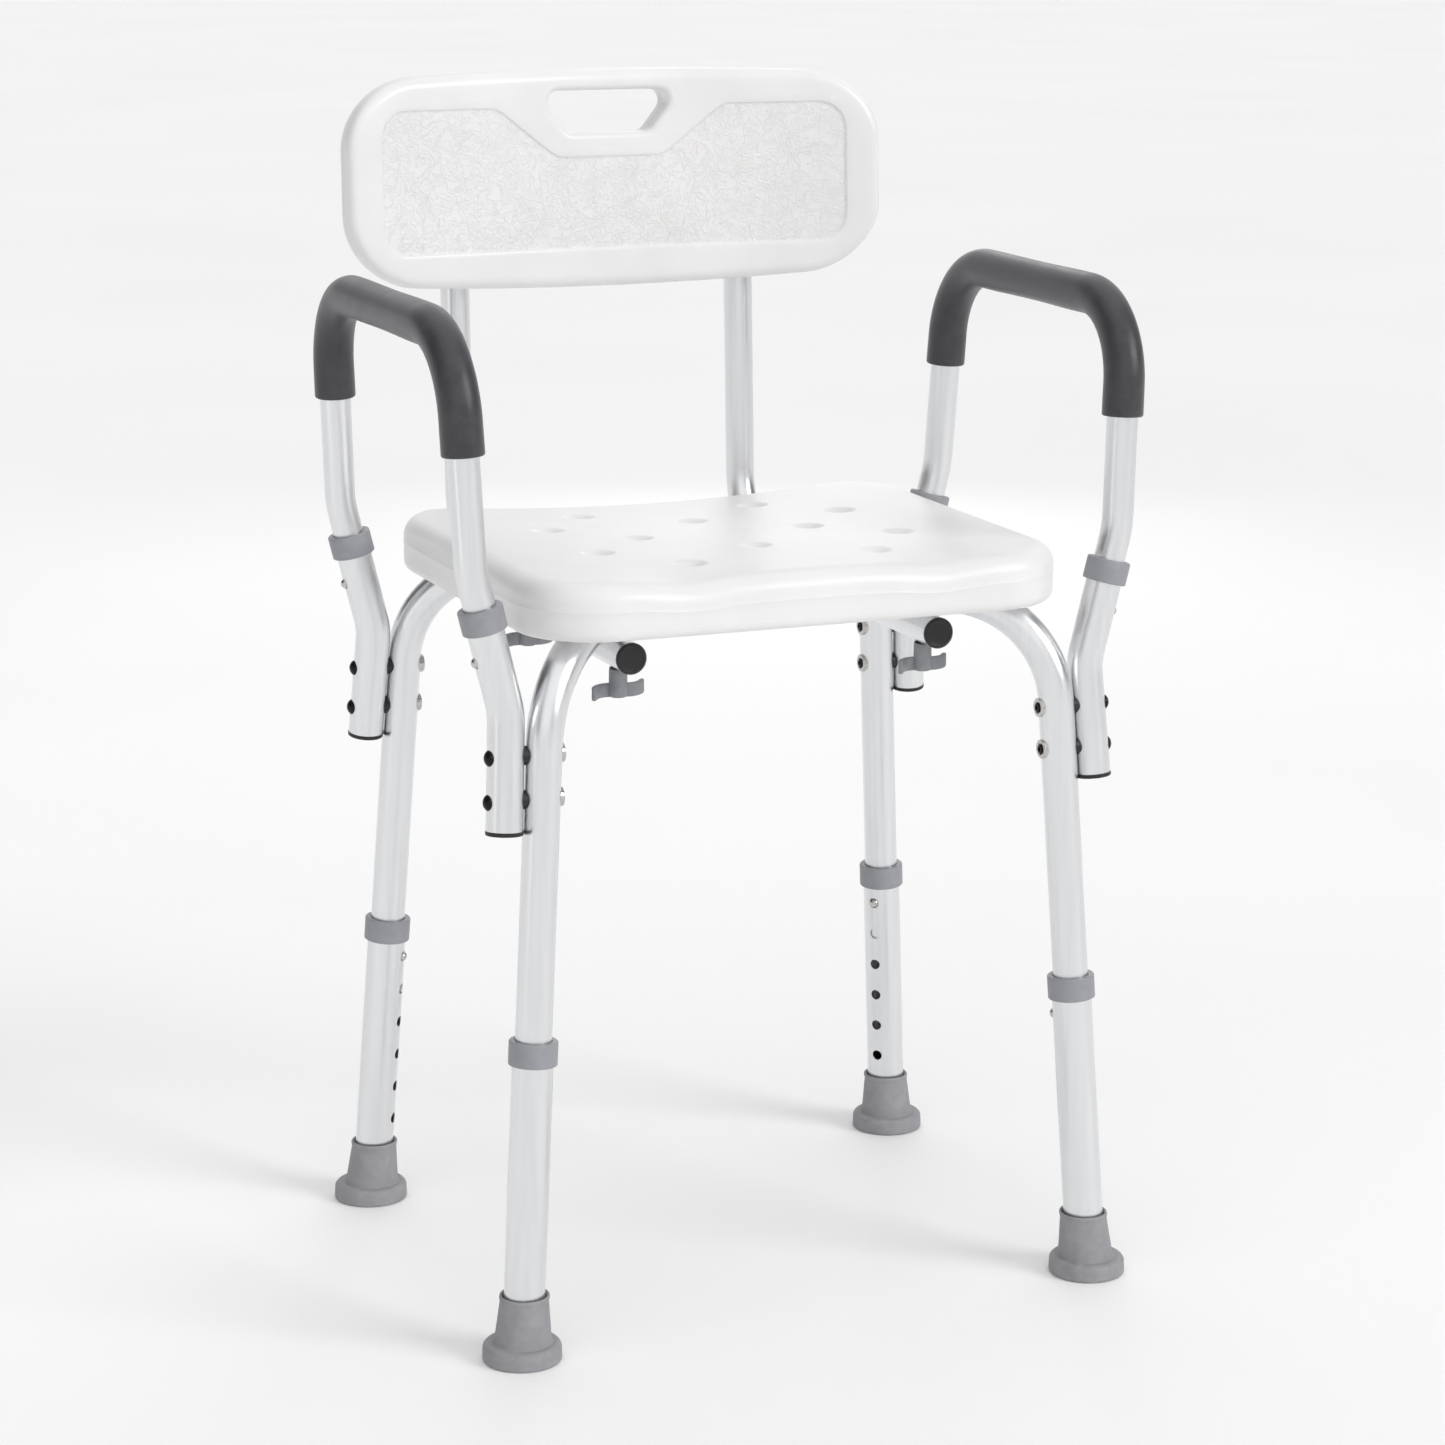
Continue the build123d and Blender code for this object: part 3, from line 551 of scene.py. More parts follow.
def bend_along_tree():
    """Bends a straight sleeve, drawn up the z axis, along a path.

    On the inside of the bends the foam is squeezed, so it swells and creases a little there.
    """
    tree, given = start_tree("bend_along", {"Path": "Object", "Middle": "Vector", "Crease Depth": "Float",
                                            "Crease Pitch": "Float", "Material": "Material"})
    path = add(tree, "GeometryNodeObjectInfo", {"Object": given["Path"]}).outputs["Geometry"]
    own = add(tree, "ShaderNodeSeparateXYZ", {0: add(tree, "GeometryNodeInputPosition").outputs[0]}).outputs
    spot = add(tree, "GeometryNodeSampleCurve", {"Curves": path, "Length": own["Z"]}, mode="LENGTH").outputs
    across = vectors(tree, "CROSS_PRODUCT", spot["Tangent"], spot["Normal"])
    arm = vectors(tree, "ADD", vectors(tree, "SCALE", spot["Normal"], Scale=own["X"]),
                  vectors(tree, "SCALE", across, Scale=own["Y"]))
    spoke = vectors(tree, "NORMALIZE", arm)
    homeward = vectors(tree, "NORMALIZE", vectors(tree, "SUBTRACT", given["Middle"], spot["Position"]))
    inner = ranged(tree, vectors(tree, "DOT_PRODUCT", spoke, homeward), (0.35, 0.95), kind="SMOOTHSTEP")
    squeeze = add(tree, "GeometryNodeInputNamedAttribute", {"Name": "squeeze"}, data_type="FLOAT")
    turns = maths(tree, "MULTIPLY", maths(tree, "DIVIDE", own["Z"], given["Crease Pitch"]), 2 * pi)
    lift = maths(tree, "MULTIPLY", maths(tree, "COSINE", turns), given["Crease Depth"])
    lift = maths(tree, "MULTIPLY", maths(tree, "MULTIPLY", lift, inner), squeeze.outputs[0])
    place = vectors(tree, "ADD", vectors(tree, "ADD", spot["Position"], arm),
                    vectors(tree, "SCALE", spoke, Scale=lift))
    moved = add(tree, "GeometryNodeSetPosition", {"Geometry": given["Geometry"], "Position": place})
    return end_tree(tree, moved.outputs[0], given["Material"])


def ribbed_rim_tree():
    """Adds upright ribs, evenly spaced round the z axis, to the piece it is on."""
    tree, given = start_tree("ribbed_rim", {"Count": "Int", "Radius": "Float", "Rib Width": "Float",
                                            "Rib Height": "Float", "Rib Middle": "Float",
                                            "Material": "Material"})
    ring = add(tree, "GeometryNodeMeshCircle", {"Vertices": given["Count"], "Radius": given["Radius"]})
    half = maths(tree, "MULTIPLY", given["Rib Width"], 0.5)
    rib = add(tree, "GeometryNodeMeshCylinder", {"Vertices": 8, "Radius": half, "Depth": given["Rib Height"]})
    lift = add(tree, "ShaderNodeCombineXYZ", {"Z": given["Rib Middle"]})
    raised = add(tree, "GeometryNodeTransform", {"Geometry": rib.outputs[0], "Translation": lift.outputs[0]})
    ribs = add(tree, "GeometryNodeInstanceOnPoints",
               {"Points": ring.outputs[0], "Instance": raised.outputs[0]})
    both = add(tree, "GeometryNodeJoinGeometry", {"Geometry": given["Geometry"]})
    tree.links.new(ribs.outputs[0], both.inputs[0])
    return end_tree(tree, both.outputs[0], given["Material"])


def copies_tree():
    """Sets one copy of a pattern piece on every point, turned by the angles it is given."""
    tree, given = start_tree("copies", {"Pattern": "Object", "Turn": "Vector", "Material": "Material"})
    pattern = add(tree, "GeometryNodeObjectInfo", {"Object": given["Pattern"]}).outputs["Geometry"]
    copies = add(tree, "GeometryNodeInstanceOnPoints",
                 {"Points": given["Geometry"], "Instance": pattern, "Rotation": given["Turn"]})
    return end_tree(tree, copies.outputs[0], given["Material"])


BEND_ALONG = bend_along_tree()
RIBBED_RIM = ribbed_rim_tree()
COPIES = copies_tree()


# ---- seat ---------------------------------------------------------------------------------

SEAT_LOW, SEAT_HIGH = box("seat")
SEAT_Y = (SEAT_LOW.y + SEAT_HIGH.y) / 2
SEAT_HALF = ((SEAT_HIGH.x - SEAT_LOW.x) / 2, (SEAT_HIGH.y - SEAT_LOW.y) / 2)


def drain_points():
    """Plan positions of all the drains, from the middle of the seat."""
    return [(sx * x, y) for x, y in DRAINS for sx in (-1, 1)] + MIDDLE_DRAINS


def seat_top(x, y):
    """Height of the seat's top: dished towards the back, with a dip for each thigh in front."""
    back = np.clip((y + SEAT_HALF[1]) / (2 * SEAT_HALF[1]), 0, 1)
    middle = np.clip(1 - (x / DISH_HALF) ** 2, 0, 1)
    thigh = np.exp(-((np.abs(x) - THIGH_X) / THIGH_SPREAD[0]) ** 2)
    front = np.exp(-((y + SEAT_HALF[1]) / THIGH_SPREAD[1]) ** 2)
    top = SEAT_HIGH.z - SEAT_TOP_GAP - SEAT_BACK_DIP * back ** 1.5 * middle - THIGH_DIP * thigh * front
    for dx, dy in drain_points():
        reach = np.clip(np.hypot(x - dx, y - dy), DRAIN_HOLE, DRAIN_MOUTH)
        share = (DRAIN_MOUTH - reach) / (DRAIN_MOUTH - DRAIN_HOLE)
        top = top - DRAIN_DEPTH * share ** 1.35 * (1 - 0.25 * share)
    return top


def add_sheet(skin, marks, points, faces, mark):
    """Add a filled sheet to a skin, and its marks, which say what is grained field."""
    numbers = skin.row(points)
    marks.extend(np.broadcast_to(mark, len(numbers)))
    skin.faces += [[numbers[i] for i in face] for face in faces]


def seat_skin():
    """The seat's closed skin and marks: top, underside, rolled edges, walls and drain tubes."""
    half_x, half_y = SEAT_HALF
    outline = rounded_block((-half_x, -half_y), (half_x, half_y), SEAT_CORNER)
    skin, marks = Skin(), []

    def top(x, y):
        return float(seat_top(x, y))

    def ring(inset, height, mark=0.0):
        loop = shrunk(outline, inset)
        marks.extend([mark] * len(loop))
        return skin.row([(x, y, height(x, y)) for x, y in loop])

    rows = [ring(inset, lambda x, y, d=drop: top(x, y) - d, 1.0 if k == 0 else 0.0)
            for k, (inset, drop) in enumerate(roll_steps(SEAT_ROLL, 10))]
    low_wall = SEAT_LOW.z + SEAT_EDGE
    # the mould's parting line: a fine raised bead three quarters of the way up the wall
    for share, proud in ((0.79, 0.0), (0.765, -0.22), (0.75, -0.3), (0.735, -0.22), (0.71, 0.0), (0.35, 0.0)):
        rows.append(ring(proud, lambda x, y, s=share: low_wall + s * (top(x, y) - SEAT_ROLL - low_wall)))
    rows += [ring(inset, lambda x, y, d=drop: SEAT_LOW.z + d)
             for inset, drop in roll_steps(SEAT_EDGE, 5)[::-1]]
    skin.bands(rows)

    circle = [(cos(2 * pi * k / 28), sin(2 * pi * k / 28)) for k in range(28)]

    def around(spot, radius):
        return [(spot[0] + radius * c, spot[1] + radius * s) for c, s in circle]

    spots = drain_points()
    drains = [around(spot, DRAIN_HOLE) for spot in spots]
    mouths = [around(spot, r) for spot in spots for r in (4.2, 5.8, 7.6, 9.4, 11.2, 12.6, 14.0)]
    flat, faces = fill(shrunk(outline, SEAT_ROLL), drains, mouths, 5.0)
    add_sheet(skin, marks, [(x, y, top(x, y)) for x, y in flat], faces, 1.0)
    flat, faces = fill(shrunk(outline, SEAT_EDGE), drains, [around(spot, 4.4) for spot in spots], 9.0)
    add_sheet(skin, marks, [(x, y, SEAT_LOW.z) for x, y in flat], faces, 0.0)
    for loop in drains:
        skin.bands([skin.row([(x, y, height) for (x, y), height in zip(loop, heights)])
                    for heights in ([top(x, y) for x, y in loop], [SEAT_LOW.z] * len(loop))])
        marks.extend([0.0] * (2 * len(loop)))
    return skin, marks


def welded(piece):
    """Join the points where the parts of a skin meet."""
    faced_out(piece.data, 0.01)
    return piece


def arch_channel(sx):
    """Cutter for the half-round channel in which one arch lies under the seat."""
    axis_z = SEAT_LOW.z + 0.3
    foot = centre_of("rubber_foot_front_right")
    away = Vector((sx * foot.x, foot.y - SEAT_Y, 0))
    corner = away * (1 - LEG_SLOPE * axis_z / away.length) + Vector((0, 0, axis_z))
    down = corner + away.normalized() * (LEG_SLOPE * CHANNEL_DROP) - Vector((0, 0, CHANNEL_DROP))
    other = [Vector((-p.x, -p.y, p.z)) for p in (corner, down)]
    return tube_cutter(rounded([down, corner, *other], ARCH_BEND, 4.0), ARCH_R + GROOVE_GAP)


def tube_cutter(path, radius):
    """Closed bar along a path, to be cut out of another piece."""
    skin = Skin()
    rows, side = [], None
    turns = [2 * pi * k / 40 for k in range(40)]
    for point, along in zip(path, headings(path)):
        side = along.orthogonal() if side is None else side
        side = (side - along * side.dot(along)).normalized()
        up = along.cross(side)
        rows.append(skin.row([point + (side * cos(t) + up * sin(t)) * radius for t in turns]))
    skin.bands(rows, capped=True)
    return skin.piece("cutter", SEAT_WHITE)


def cut(piece, cutters):
    """Cut closed shapes out of a piece and remove them."""
    for cutter in cutters:
        modifier = piece.modifiers.new("cut", "BOOLEAN")
        modifier.operation = "DIFFERENCE"
        modifier.solver = "EXACT"
        modifier.object = cutter
        made_real(piece)
        bpy.data.objects.remove(cutter)
    return piece


def seat_shell():
    """White seat in place of the plain one: moulded skin with channels for the arches below."""
    skin, marks = seat_skin()
    seat = welded(skin.piece("seat_shell", SEAT_WHITE, marks=marks))
    crossing, floor_z = Skin(), SEAT_LOW.z - 5
    crossing.turned([(0, floor_z), (CROSSING_R, floor_z), (CROSSING_R, SEAT_LOW.z + CROSSING_DEPTH),
                     (0, SEAT_LOW.z + CROSSING_DEPTH)])
    cut(seat, [arch_channel(1), arch_channel(-1), crossing.piece("cutter", SEAT_WHITE)])
    seat.data.transform(Matrix.Translation((0, SEAT_Y * MM, 0)))
    smoothed(seat, 40)
    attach(seat, "frame")
    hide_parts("seat")


# ---- back ---------------------------------------------------------------------------------

PANEL_LOW, PANEL_HIGH = box("back_panel")
PANEL_HEIGHT = PANEL_HIGH.z - PANEL_LOW.z
PANEL_Y = PANEL_HIGH.y - PANEL_THICK / 2 - BACK_LEAN * (PANEL_HEIGHT - PANEL_ROLL)


def on_panel(x, z, out):
    """Point of the bowed, leaning panel; z is from its bottom edge, out is towards the sitter."""
    y = sqrt((PANEL_BOW - out) ** 2 - x ** 2) - PANEL_BOW
    tilt = Matrix.Rotation(-atan(BACK_LEAN), 4, "X")
    return Vector((0, PANEL_Y, PANEL_LOW.z)) + tilt @ Vector((x, y, z))


def panel_outlines():
    """Outline of the panel, of its carrying slot and of its grained field."""
    half, top = PANEL_HIGH.x, PANEL_HEIGHT
    edge = rounded_block((-half, 0), (half, top), PANEL_CORNER)
    for point in edge:
        share, end = point.y / top, (point.x / half) ** 2
        point.y += (1 - share) * (LOW_RISE[0] + LOW_RISE[1] * end) - share * (TOP_DROP[0] + TOP_DROP[1] * end)
    high, low = (top - d for d in SLOT_DEPTHS)
    slot = [(-SLOT_HALF[1], low), (SLOT_HALF[1], low), (SLOT_HALF[0], high), (-SLOT_HALF[0], high)]
    crown, notch = top - FIELD_HIGH, top - NOTCH_DEPTH
    field = [(-FIELD_HALF, FIELD_LOW), (FIELD_HALF, FIELD_LOW), (FIELD_HALF, crown), (NOTCH_HALF[0], crown),
             (NOTCH_HALF[1], notch), (-NOTCH_HALF[1], notch), (-NOTCH_HALF[0], crown), (-FIELD_HALF, crown)]
    slot = rounded(slot, SLOT_CORNER, OUTLINE_STEP, closed=True)
    return edge, slot, rounded(field, FIELD_CORNER, OUTLINE_STEP, closed=True)


def field_sink(x, z, field):
    """How far the grained field lies below the border, with a soft step 2 mm wide."""
    share = np.clip((depth_in(np.column_stack([x, z]), field) + 1) / 2, 0, 1)
    return FIELD_STEP * share * share * (3 - 2 * share)


def tube_relief(x, z):
    """How far the panel's rear is pressed in to clear the back tubes."""
    top = box("back_tube_left")[1]
    axis = top.y - BACK_TUBE_R - BACK_LEAN * (top.z - PANEL_LOW.z - z)
    rear = PANEL_Y + np.sqrt((PANEL_BOW + PANEL_THICK / 2) ** 2 - x ** 2) - PANEL_BOW + BACK_LEAN * z
    off = np.clip(np.abs(np.abs(x) - BACK_TUBE_X) / RELIEF_R, 0, 1)
    deep = np.clip(rear - axis + np.sqrt(1 - off ** 2) * RELIEF_R, 0, RELIEF_DEPTH)
    return np.where((off < 1) & (z < top.z + 6 - PANEL_LOW.z), deep, 0)


def panel_skin():
    """The back's closed skin and marks: front with its sunk field, rear, rolled edge and slot."""
    edge, slot, field = panel_outlines()
    skin, marks = Skin(), []
    half = PANEL_THICK / 2

    def ring(loop, inset, out):
        flat = shrunk(loop, inset)
        marks.extend([0.0] * len(flat))
        return skin.row([on_panel(x, z, out) for x, z in flat])

    # the outer edge and the slot's wall: quarter rolls in front and behind, and a fine raised seam
    for loop, radius, sign in ((edge, PANEL_ROLL, 1), (slot, SLOT_ROLL, -1)):
        front = [ring(loop, sign * inset, half - drop) for inset, drop in roll_steps(radius, 7)]
        rear = [ring(loop, sign * inset, drop - half) for inset, drop in roll_steps(radius, 7)]
        seam = [ring(loop, sign * proud, out)
                for proud, out in ((0, 0.7), (-0.25, 0.25), (-0.25, -0.25), (0, -0.7))]
        skin.bands(front + seam + rear[::-1])
    rim, hole = shrunk(edge, PANEL_ROLL), shrunk(slot, -SLOT_ROLL)
    steps = [shrunk(field, d) for d in (-1.0, -0.5, 0.0, 0.5, 1.0, 2.2)]
    flat, faces = fill(rim, [hole], steps, 5.0)
    sink = field_sink(flat[:, 0], flat[:, 1], field)
    points = [on_panel(x, z, half - d) for (x, z), d in zip(flat, sink)]
    add_sheet(skin, marks, points, faces, sink / FIELD_STEP)
    strips = [shrunk(lane, d) for lane in tube_lanes() for d in (0, 2, 4, 6, 8)]
    flat, faces = fill(rim, [hole], strips, 7.0)
    deep = tube_relief(flat[:, 0], flat[:, 1])
    add_sheet(skin, marks, [on_panel(x, z, d - half) for (x, z), d in zip(flat, deep)], faces, 0.0)
    return skin, marks


def tube_lanes():
    """Outlines round the places where the back tubes press into the panel's rear."""
    top = box("back_tube_left")[1].z - PANEL_LOW.z + 8
    return [rounded_block((x - LANE_HALF, PANEL_ROLL + 10), (x + LANE_HALF, top), LANE_CORNER)
            for x in (-BACK_TUBE_X, BACK_TUBE_X)]


def back_shell():
    """White back panel in place of the plain one."""
    skin, marks = panel_skin()
    back = welded(skin.piece("back_shell", BACK_WHITE, marks=marks))
    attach(back, "frame")
    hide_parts("back_panel")


# ---- foam grips ---------------------------------------------------------------------------


def grip_path(side, sx):
    """Axis of a grip: up the front of the hoop, along its top and down the rear."""
    low, high = box(f"foam_grip_{side}")
    out, down = (high.x, low.x) if sx > 0 else (low.x, high.x)
    top_x, foot_x = out - sx * GRIP_R, down + sx * GRIP_R
    middle_y = (low.y + high.y) / 2
    foot_y = (high.y - low.y) / 2 - GRIP_R
    low_z, top_z = low.z + GRIP_END, high.z - GRIP_R
    front = [(foot_x, middle_y - foot_y, low_z), (top_x, middle_y - foot_y + GRIP_DRAW_IN, top_z)]
    rear = [(x, 2 * middle_y - y, z) for x, y, z in front[::-1]]
    return rounded(front + rear, GRIP_BEND, 3.0)


def foam_sleeve(length):
    """Straight foam sleeve up the z axis, slightly uneven, with soft end corners and its bore."""
    start = [(GRIP_R - drop, inset) for inset, drop in roll_steps(1.6, 4)[::-1]]
    stations = [2.0 + (length - 4.0) * k / 230 for k in range(231)]
    outer = [(GRIP_R - 0.2 + 0.2 * cos(2 * pi * z / length * 3), z) for z in stations]
    end = [(radius, length - z) for radius, z in start[::-1]]
    inner = [(HOOP_R + 0.1, length - length * k / 60) for k in range(61)]
    skin = Skin()
    skin.turned([*start, *outer, *end, *inner, start[0]], sides=64)
    return skin


def foam_grip(side, sx):
    """Charcoal foam grip bent over the armrest."""
    path = grip_path(side, sx)
    curve = bpy.data.curves.new("grip_path", "CURVE")
    curve.dimensions = "3D"
    line = curve.splines.new("POLY")
    line.points.add(len(path) - 1)
    for spot, point in zip(line.points, path):
        spot.co = (*(point * MM), 1.0)
    guide = bpy.data.objects.new("grip_path", curve)
    bpy.context.scene.collection.objects.link(guide)
    length = sum((b - a).length for a, b in zip(path, path[1:]))
    grip = welded(foam_sleeve(length).piece(f"grip_{side}", FOAM))
    heights = np.array([v.co.z for v in grip.data.vertices]) / MM
    reach = np.array([Vector(v.co[:2]).length for v in grip.data.vertices]) / MM
    bends = [length * share for share in (0.31, 0.69)]
    squeeze = sum(np.exp(-((heights - bend) / 34) ** 2) for bend in bends) * (reach > HOOP_R + 2)
    grip.data.attributes.new("squeeze", "FLOAT", "POINT").data.foreach_set("value", squeeze)
    middle = (path[0] + path[-1]) / 2 + Vector((0, 0, 12))
    run_tree(grip, BEND_ALONG, {"Path": guide, "Middle": middle * MM, "Crease Depth": 0.28 * MM,
                                "Crease Pitch": 4.2 * MM, "Material": FOAM})
    bpy.data.objects.remove(guide)
    grip.data.shade_smooth()
    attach(grip, f"armrest_{side}")
    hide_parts(f"foam_grip_{side}")


# ---- feet ---------------------------------------------------------------------------------


def foot_profile():
    """Section of a rubber foot: ringed sole, wide flange, tapered cup with a lip, and the bore."""
    sole = [(0, 1.6), (7.2, 1.6), (8.0, 0), (12.4, 0), (13.2, 1.6), (17.0, 1.6), (17.8, 0), (25.4, 0)]
    foot_edge = [(25.8 + 1.8 * sin(t), 1.8 - 1.8 * cos(t)) for t in np.linspace(0.3, pi / 2, 5)]
    shoulder = [(23.2 + 4.2 * cos(t), 8.6 + 4.2 * sin(t)) for t in np.linspace(0, pi / 2, 8)]
    valley = [(22.0, 12.6), (21.2, 12.5), (20.6, 12.9), (20.1, 13.9), (19.7, 15.4)]
    wall = [(19.7 - 2.75 * k / 8, 15.4 + 26.4 * k / 8) for k in range(1, 9)]
    lip = [(17.15, 42.7), (17.45, 43.5), (17.55, 44.5), (17.35, 45.4), (16.85, 45.9), (16.3, 45.85),
           (15.8, 45.3)]
    bore = [(15.45, 44.0), (14.9, 41.5), (14.45, 38.5), (14.4, 30.0), (14.4, 11.4), (0, 11.4)]
    return sole + foot_edge + shoulder + valley + wall + lip + bore


def foot_spot(corner):
    """Middle of a foot on the floor."""
    return centre_of(f"rubber_foot_{corner}") * Vector((1, 1, 0))


def rubber_foot(corner):
    """Rubber foot: its flange is level on the floor, and its cup leans with the leg."""
    spot = foot_spot(corner)
    inward = Vector((-spot.x, SEAT_Y - spot.y, 0)).normalized()

    def place(point):
        cup = np.clip((27.6 - Vector(point[:2]).length) / 7.0, 0, 1)
        return spot + point + inward * (LEG_SLOPE * point.z * float(cup))

    skin = Skin()
    skin.turned(foot_profile(), place, sides=72)
    foot = skin.piece(f"foot_{corner}", FOOT_GREY, sharp=50)
    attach(foot, f"leg_{corner}")
    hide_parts(f"rubber_foot_{corner}")


# ---- snap buttons -------------------------------------------------------------------------


def snap_button(name, axes, origin, bore, tip, reach):
    """Spring leaf folded to a V inside a tube, with its round button through the wall."""
    out, up = axes
    turn = Matrix((out, up.cross(out), up)).transposed()
    root = tip - BUTTON_LENGTH - 0.1
    line = rounded([(root, -7, 0), (root, 7, 0), (1.6, reach, 0), (-1.6, reach, 0), (-bore, 6, 0),
                    (-bore, -7, 0)], 1.2, 1.5)
    skin = Skin()
    rows, half = [], LEAF_WIDTH / 2
    for left, right in zip(*both_sides(line, LEAF_THICK)):
        corners = [(left, half), (left, -half), (right, -half), (right, half)]
        rows.append(skin.row([origin + turn @ Vector((p.x, y, p.y)) for p, y in corners]))
    skin.bands(rows, capped=True)
    ball = [(BUTTON_R * cos(t), tip - 3.4 + 3.4 * sin(t)) for t in np.linspace(0, pi / 2, 9)[:-1]]
    profile = [(0, tip - BUTTON_LENGTH), (BUTTON_R, tip - BUTTON_LENGTH), *ball, (0, tip)]
    skin.turned(profile, lambda p: origin + turn @ Vector((p.z, p.y, -p.x)), sides=32)
    return skin.piece(name, NICKEL)


def leg_button(corner):
    """Snap button of a leg, at its top hole."""
    up = Vector(joint(f"leg_height_{corner}")["axis"])
    out = -Vector(joint(f"leg_button_press_{corner}")["axis"])
    origin = foot_spot(corner) + up * TOP_HOLE
    tip = LEG_R + BUTTON_PROUD
    clip = snap_button(f"button_leg_{corner}", (out, up), origin, ARCH_BORE - 1.0, tip, 46)
    finish_button(clip, origin, out, tip, f"leg_clip_{corner}")


def arm_button(corner, side):
    """Snap button of an armrest upright."""
    low, high = box(f"arm_clip_{corner}")
    up = Vector(joint(f"armrest_lift_{side}")["axis"])
    out = -Vector(joint(f"arm_button_press_{corner}")["axis"])
    tip = SOCKET_R + BUTTON_PROUD
    tip_x = high.x if side == "right" else low.x
    origin = Vector((tip_x, (low.y + high.y) / 2, ARM_BUTTON_Z + tip * out.z)) - out * tip
    clip = snap_button(f"button_arm_{corner}", (out, up), origin, ARM_BORE - 1.0, tip, 34)
    finish_button(clip, origin, out, tip, f"arm_clip_{corner}")


def finish_button(clip, origin, out, tip, node):
    """Bake the clip's place into its mesh and hide the frame's own clip."""
    far, near = (origin - out * 8.0) * MM, (origin + out * (tip - 9.2)) * MM
    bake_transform(clip)
    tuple(far)
    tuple(near)
    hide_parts(node)


# ---- knobs --------------------------------------------------------------------------------


def wing_section(sign):
    """Outline of one wing in plan, from the hub to its rounded tip."""
    shares = [k / 8 for k in range(9)]
    centre = [Vector((WING_REACH * s, -WING_BOW * s * (1 - s) - s, 0)) for s in shares]
    left, right = both_sides(centre, WING_THICK)
    tip = [centre[-1] + Quaternion((0, 0, 1), t) @ (right[-1] - centre[-1])
           for t in np.linspace(0, pi, 8)[1:-1]]
    return [p * sign for p in right + tip + left[::-1]]


def wing_knob(corner):
    """Grey knob under the seat: a round hub and two curved wings."""
    low, high = box(f"wing_knob_{corner}")
    height = high.z - low.z
    spot = (low + high) / 2 - Vector((0, 0, height / 2))
    turn = Matrix.Rotation(radians(20), 3, "Z")
    skin = Skin()
    hub = [(0, 0), (HUB_R - 1.4, 0), (HUB_R - 0.5, 0.4), (HUB_R, 1.3), (HUB_R - 0.2, height - 0.8),
           (HUB_R - 0.8, height), (3.2, height), (3.2, 4.0), (0, 4.0)]
    skin.turned(hub, lambda p: spot + p, sides=40)
    low_edge = [(WING_SOFT, 0), (WING_SOFT * 0.3, WING_SOFT * 0.3), (0, WING_SOFT)]
    edges = low_edge + [(inset, WING_HEIGHT - z) for inset, z in low_edge[::-1]]
    for sign in (1, -1):
        section = wing_section(sign)
        rows = [skin.row([spot + turn @ Vector((x, y, z)) for x, y in shrunk(section, inset)])
                for inset, z in edges]
        skin.bands(rows, capped=True)
    knob = skin.piece(f"knob_{corner}", KNOB_GREY, sharp=50)
    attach(knob, f"knob_{corner}")
    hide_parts(f"wing_knob_{corner}")


# ---- tube caps and back screws ------------------------------------------------------------


def cap_places():
    """Frame of each back tube end: its middle, and the way out of the tube."""
    places = []
    for side in SIDES:
        low, high = box(f"back_tube_{side}")
        x = (low.x + high.x) / 2
        front = Vector((x, low.y, low.z + BACK_TUBE_R))
        top = Vector((x, high.y - BACK_TUBE_R, high.z - BACK_LEAN * BACK_TUBE_R))
        places.append((f"front_{side}", front, Vector((0, -1, 0))))
        places.append((f"top_{side}", top, Vector((0, BACK_LEAN, 1)).normalized()))
    return places


def tube_cap(name, spot, out):
    """Black plug: a ribbed flange, a raised ring and a slightly hollow face."""
    face = [(0, 1.7), (4.0, 1.72), (7.4, 1.9), (8.3, 2.1), (8.8, 2.6), (9.7, 2.75), (10.4, 2.45)]
    flange = [(10.85, 1.8), (10.9, 0.1), (9.8, 0.0), (9.8, -8.4), (9.2, -9.0), (0, -9.0)]
    skin = Skin()
    skin.turned(face + flange, sides=64)
    cap = skin.piece(f"cap_{name}", PLUG_BLACK)
    run_tree(cap, RIBBED_RIM, {"Count": 44, "Radius": 10.75 * MM, "Rib Width": 1.0 * MM,
                               "Rib Height": 2.1 * MM, "Rib Middle": 1.1 * MM, "Material": PLUG_BLACK})
    turn = out.to_track_quat("Z", "X").to_matrix().to_4x4()
    cap.data.transform(Matrix.Translation(spot * MM) @ turn)
    smoothed(cap, 40)
    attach(cap, "frame")
    return cap


def cross_screw():
    """Pan-head screw up the z axis, its head sunk with a cross."""
    skin = Skin()
    head = [(4.8, 0), (4.8, 0.7), (4.5, 1.5), (3.8, 2.1), (2.7, 2.5), (1.4, 2.65), (0, 2.7)]
    skin.turned([(0, -22), (1.2, -22), (2.4, -19), (2.4, 0), *head], sides=36)
    screw = skin.piece("screw_pattern", NICKEL)
    cutters = []
    for turn in (0, pi / 2):
        bar = Skin()
        swing = Matrix.Rotation(turn, 3, "Z")
        # each bar of the cross narrows on its way down
        bar.bands([bar.row([swing @ Vector(p) for p in ((-x, -y, z), (x, -y, z), (x, y, z), (-x, y, z))])
                   for x, y, z in ((1.17, 0.33, 0.5), (2.6, 0.55, 3.4))], capped=True)
        cutters.append(bar.piece("cutter", NICKEL))
    return cut(screw, cutters)


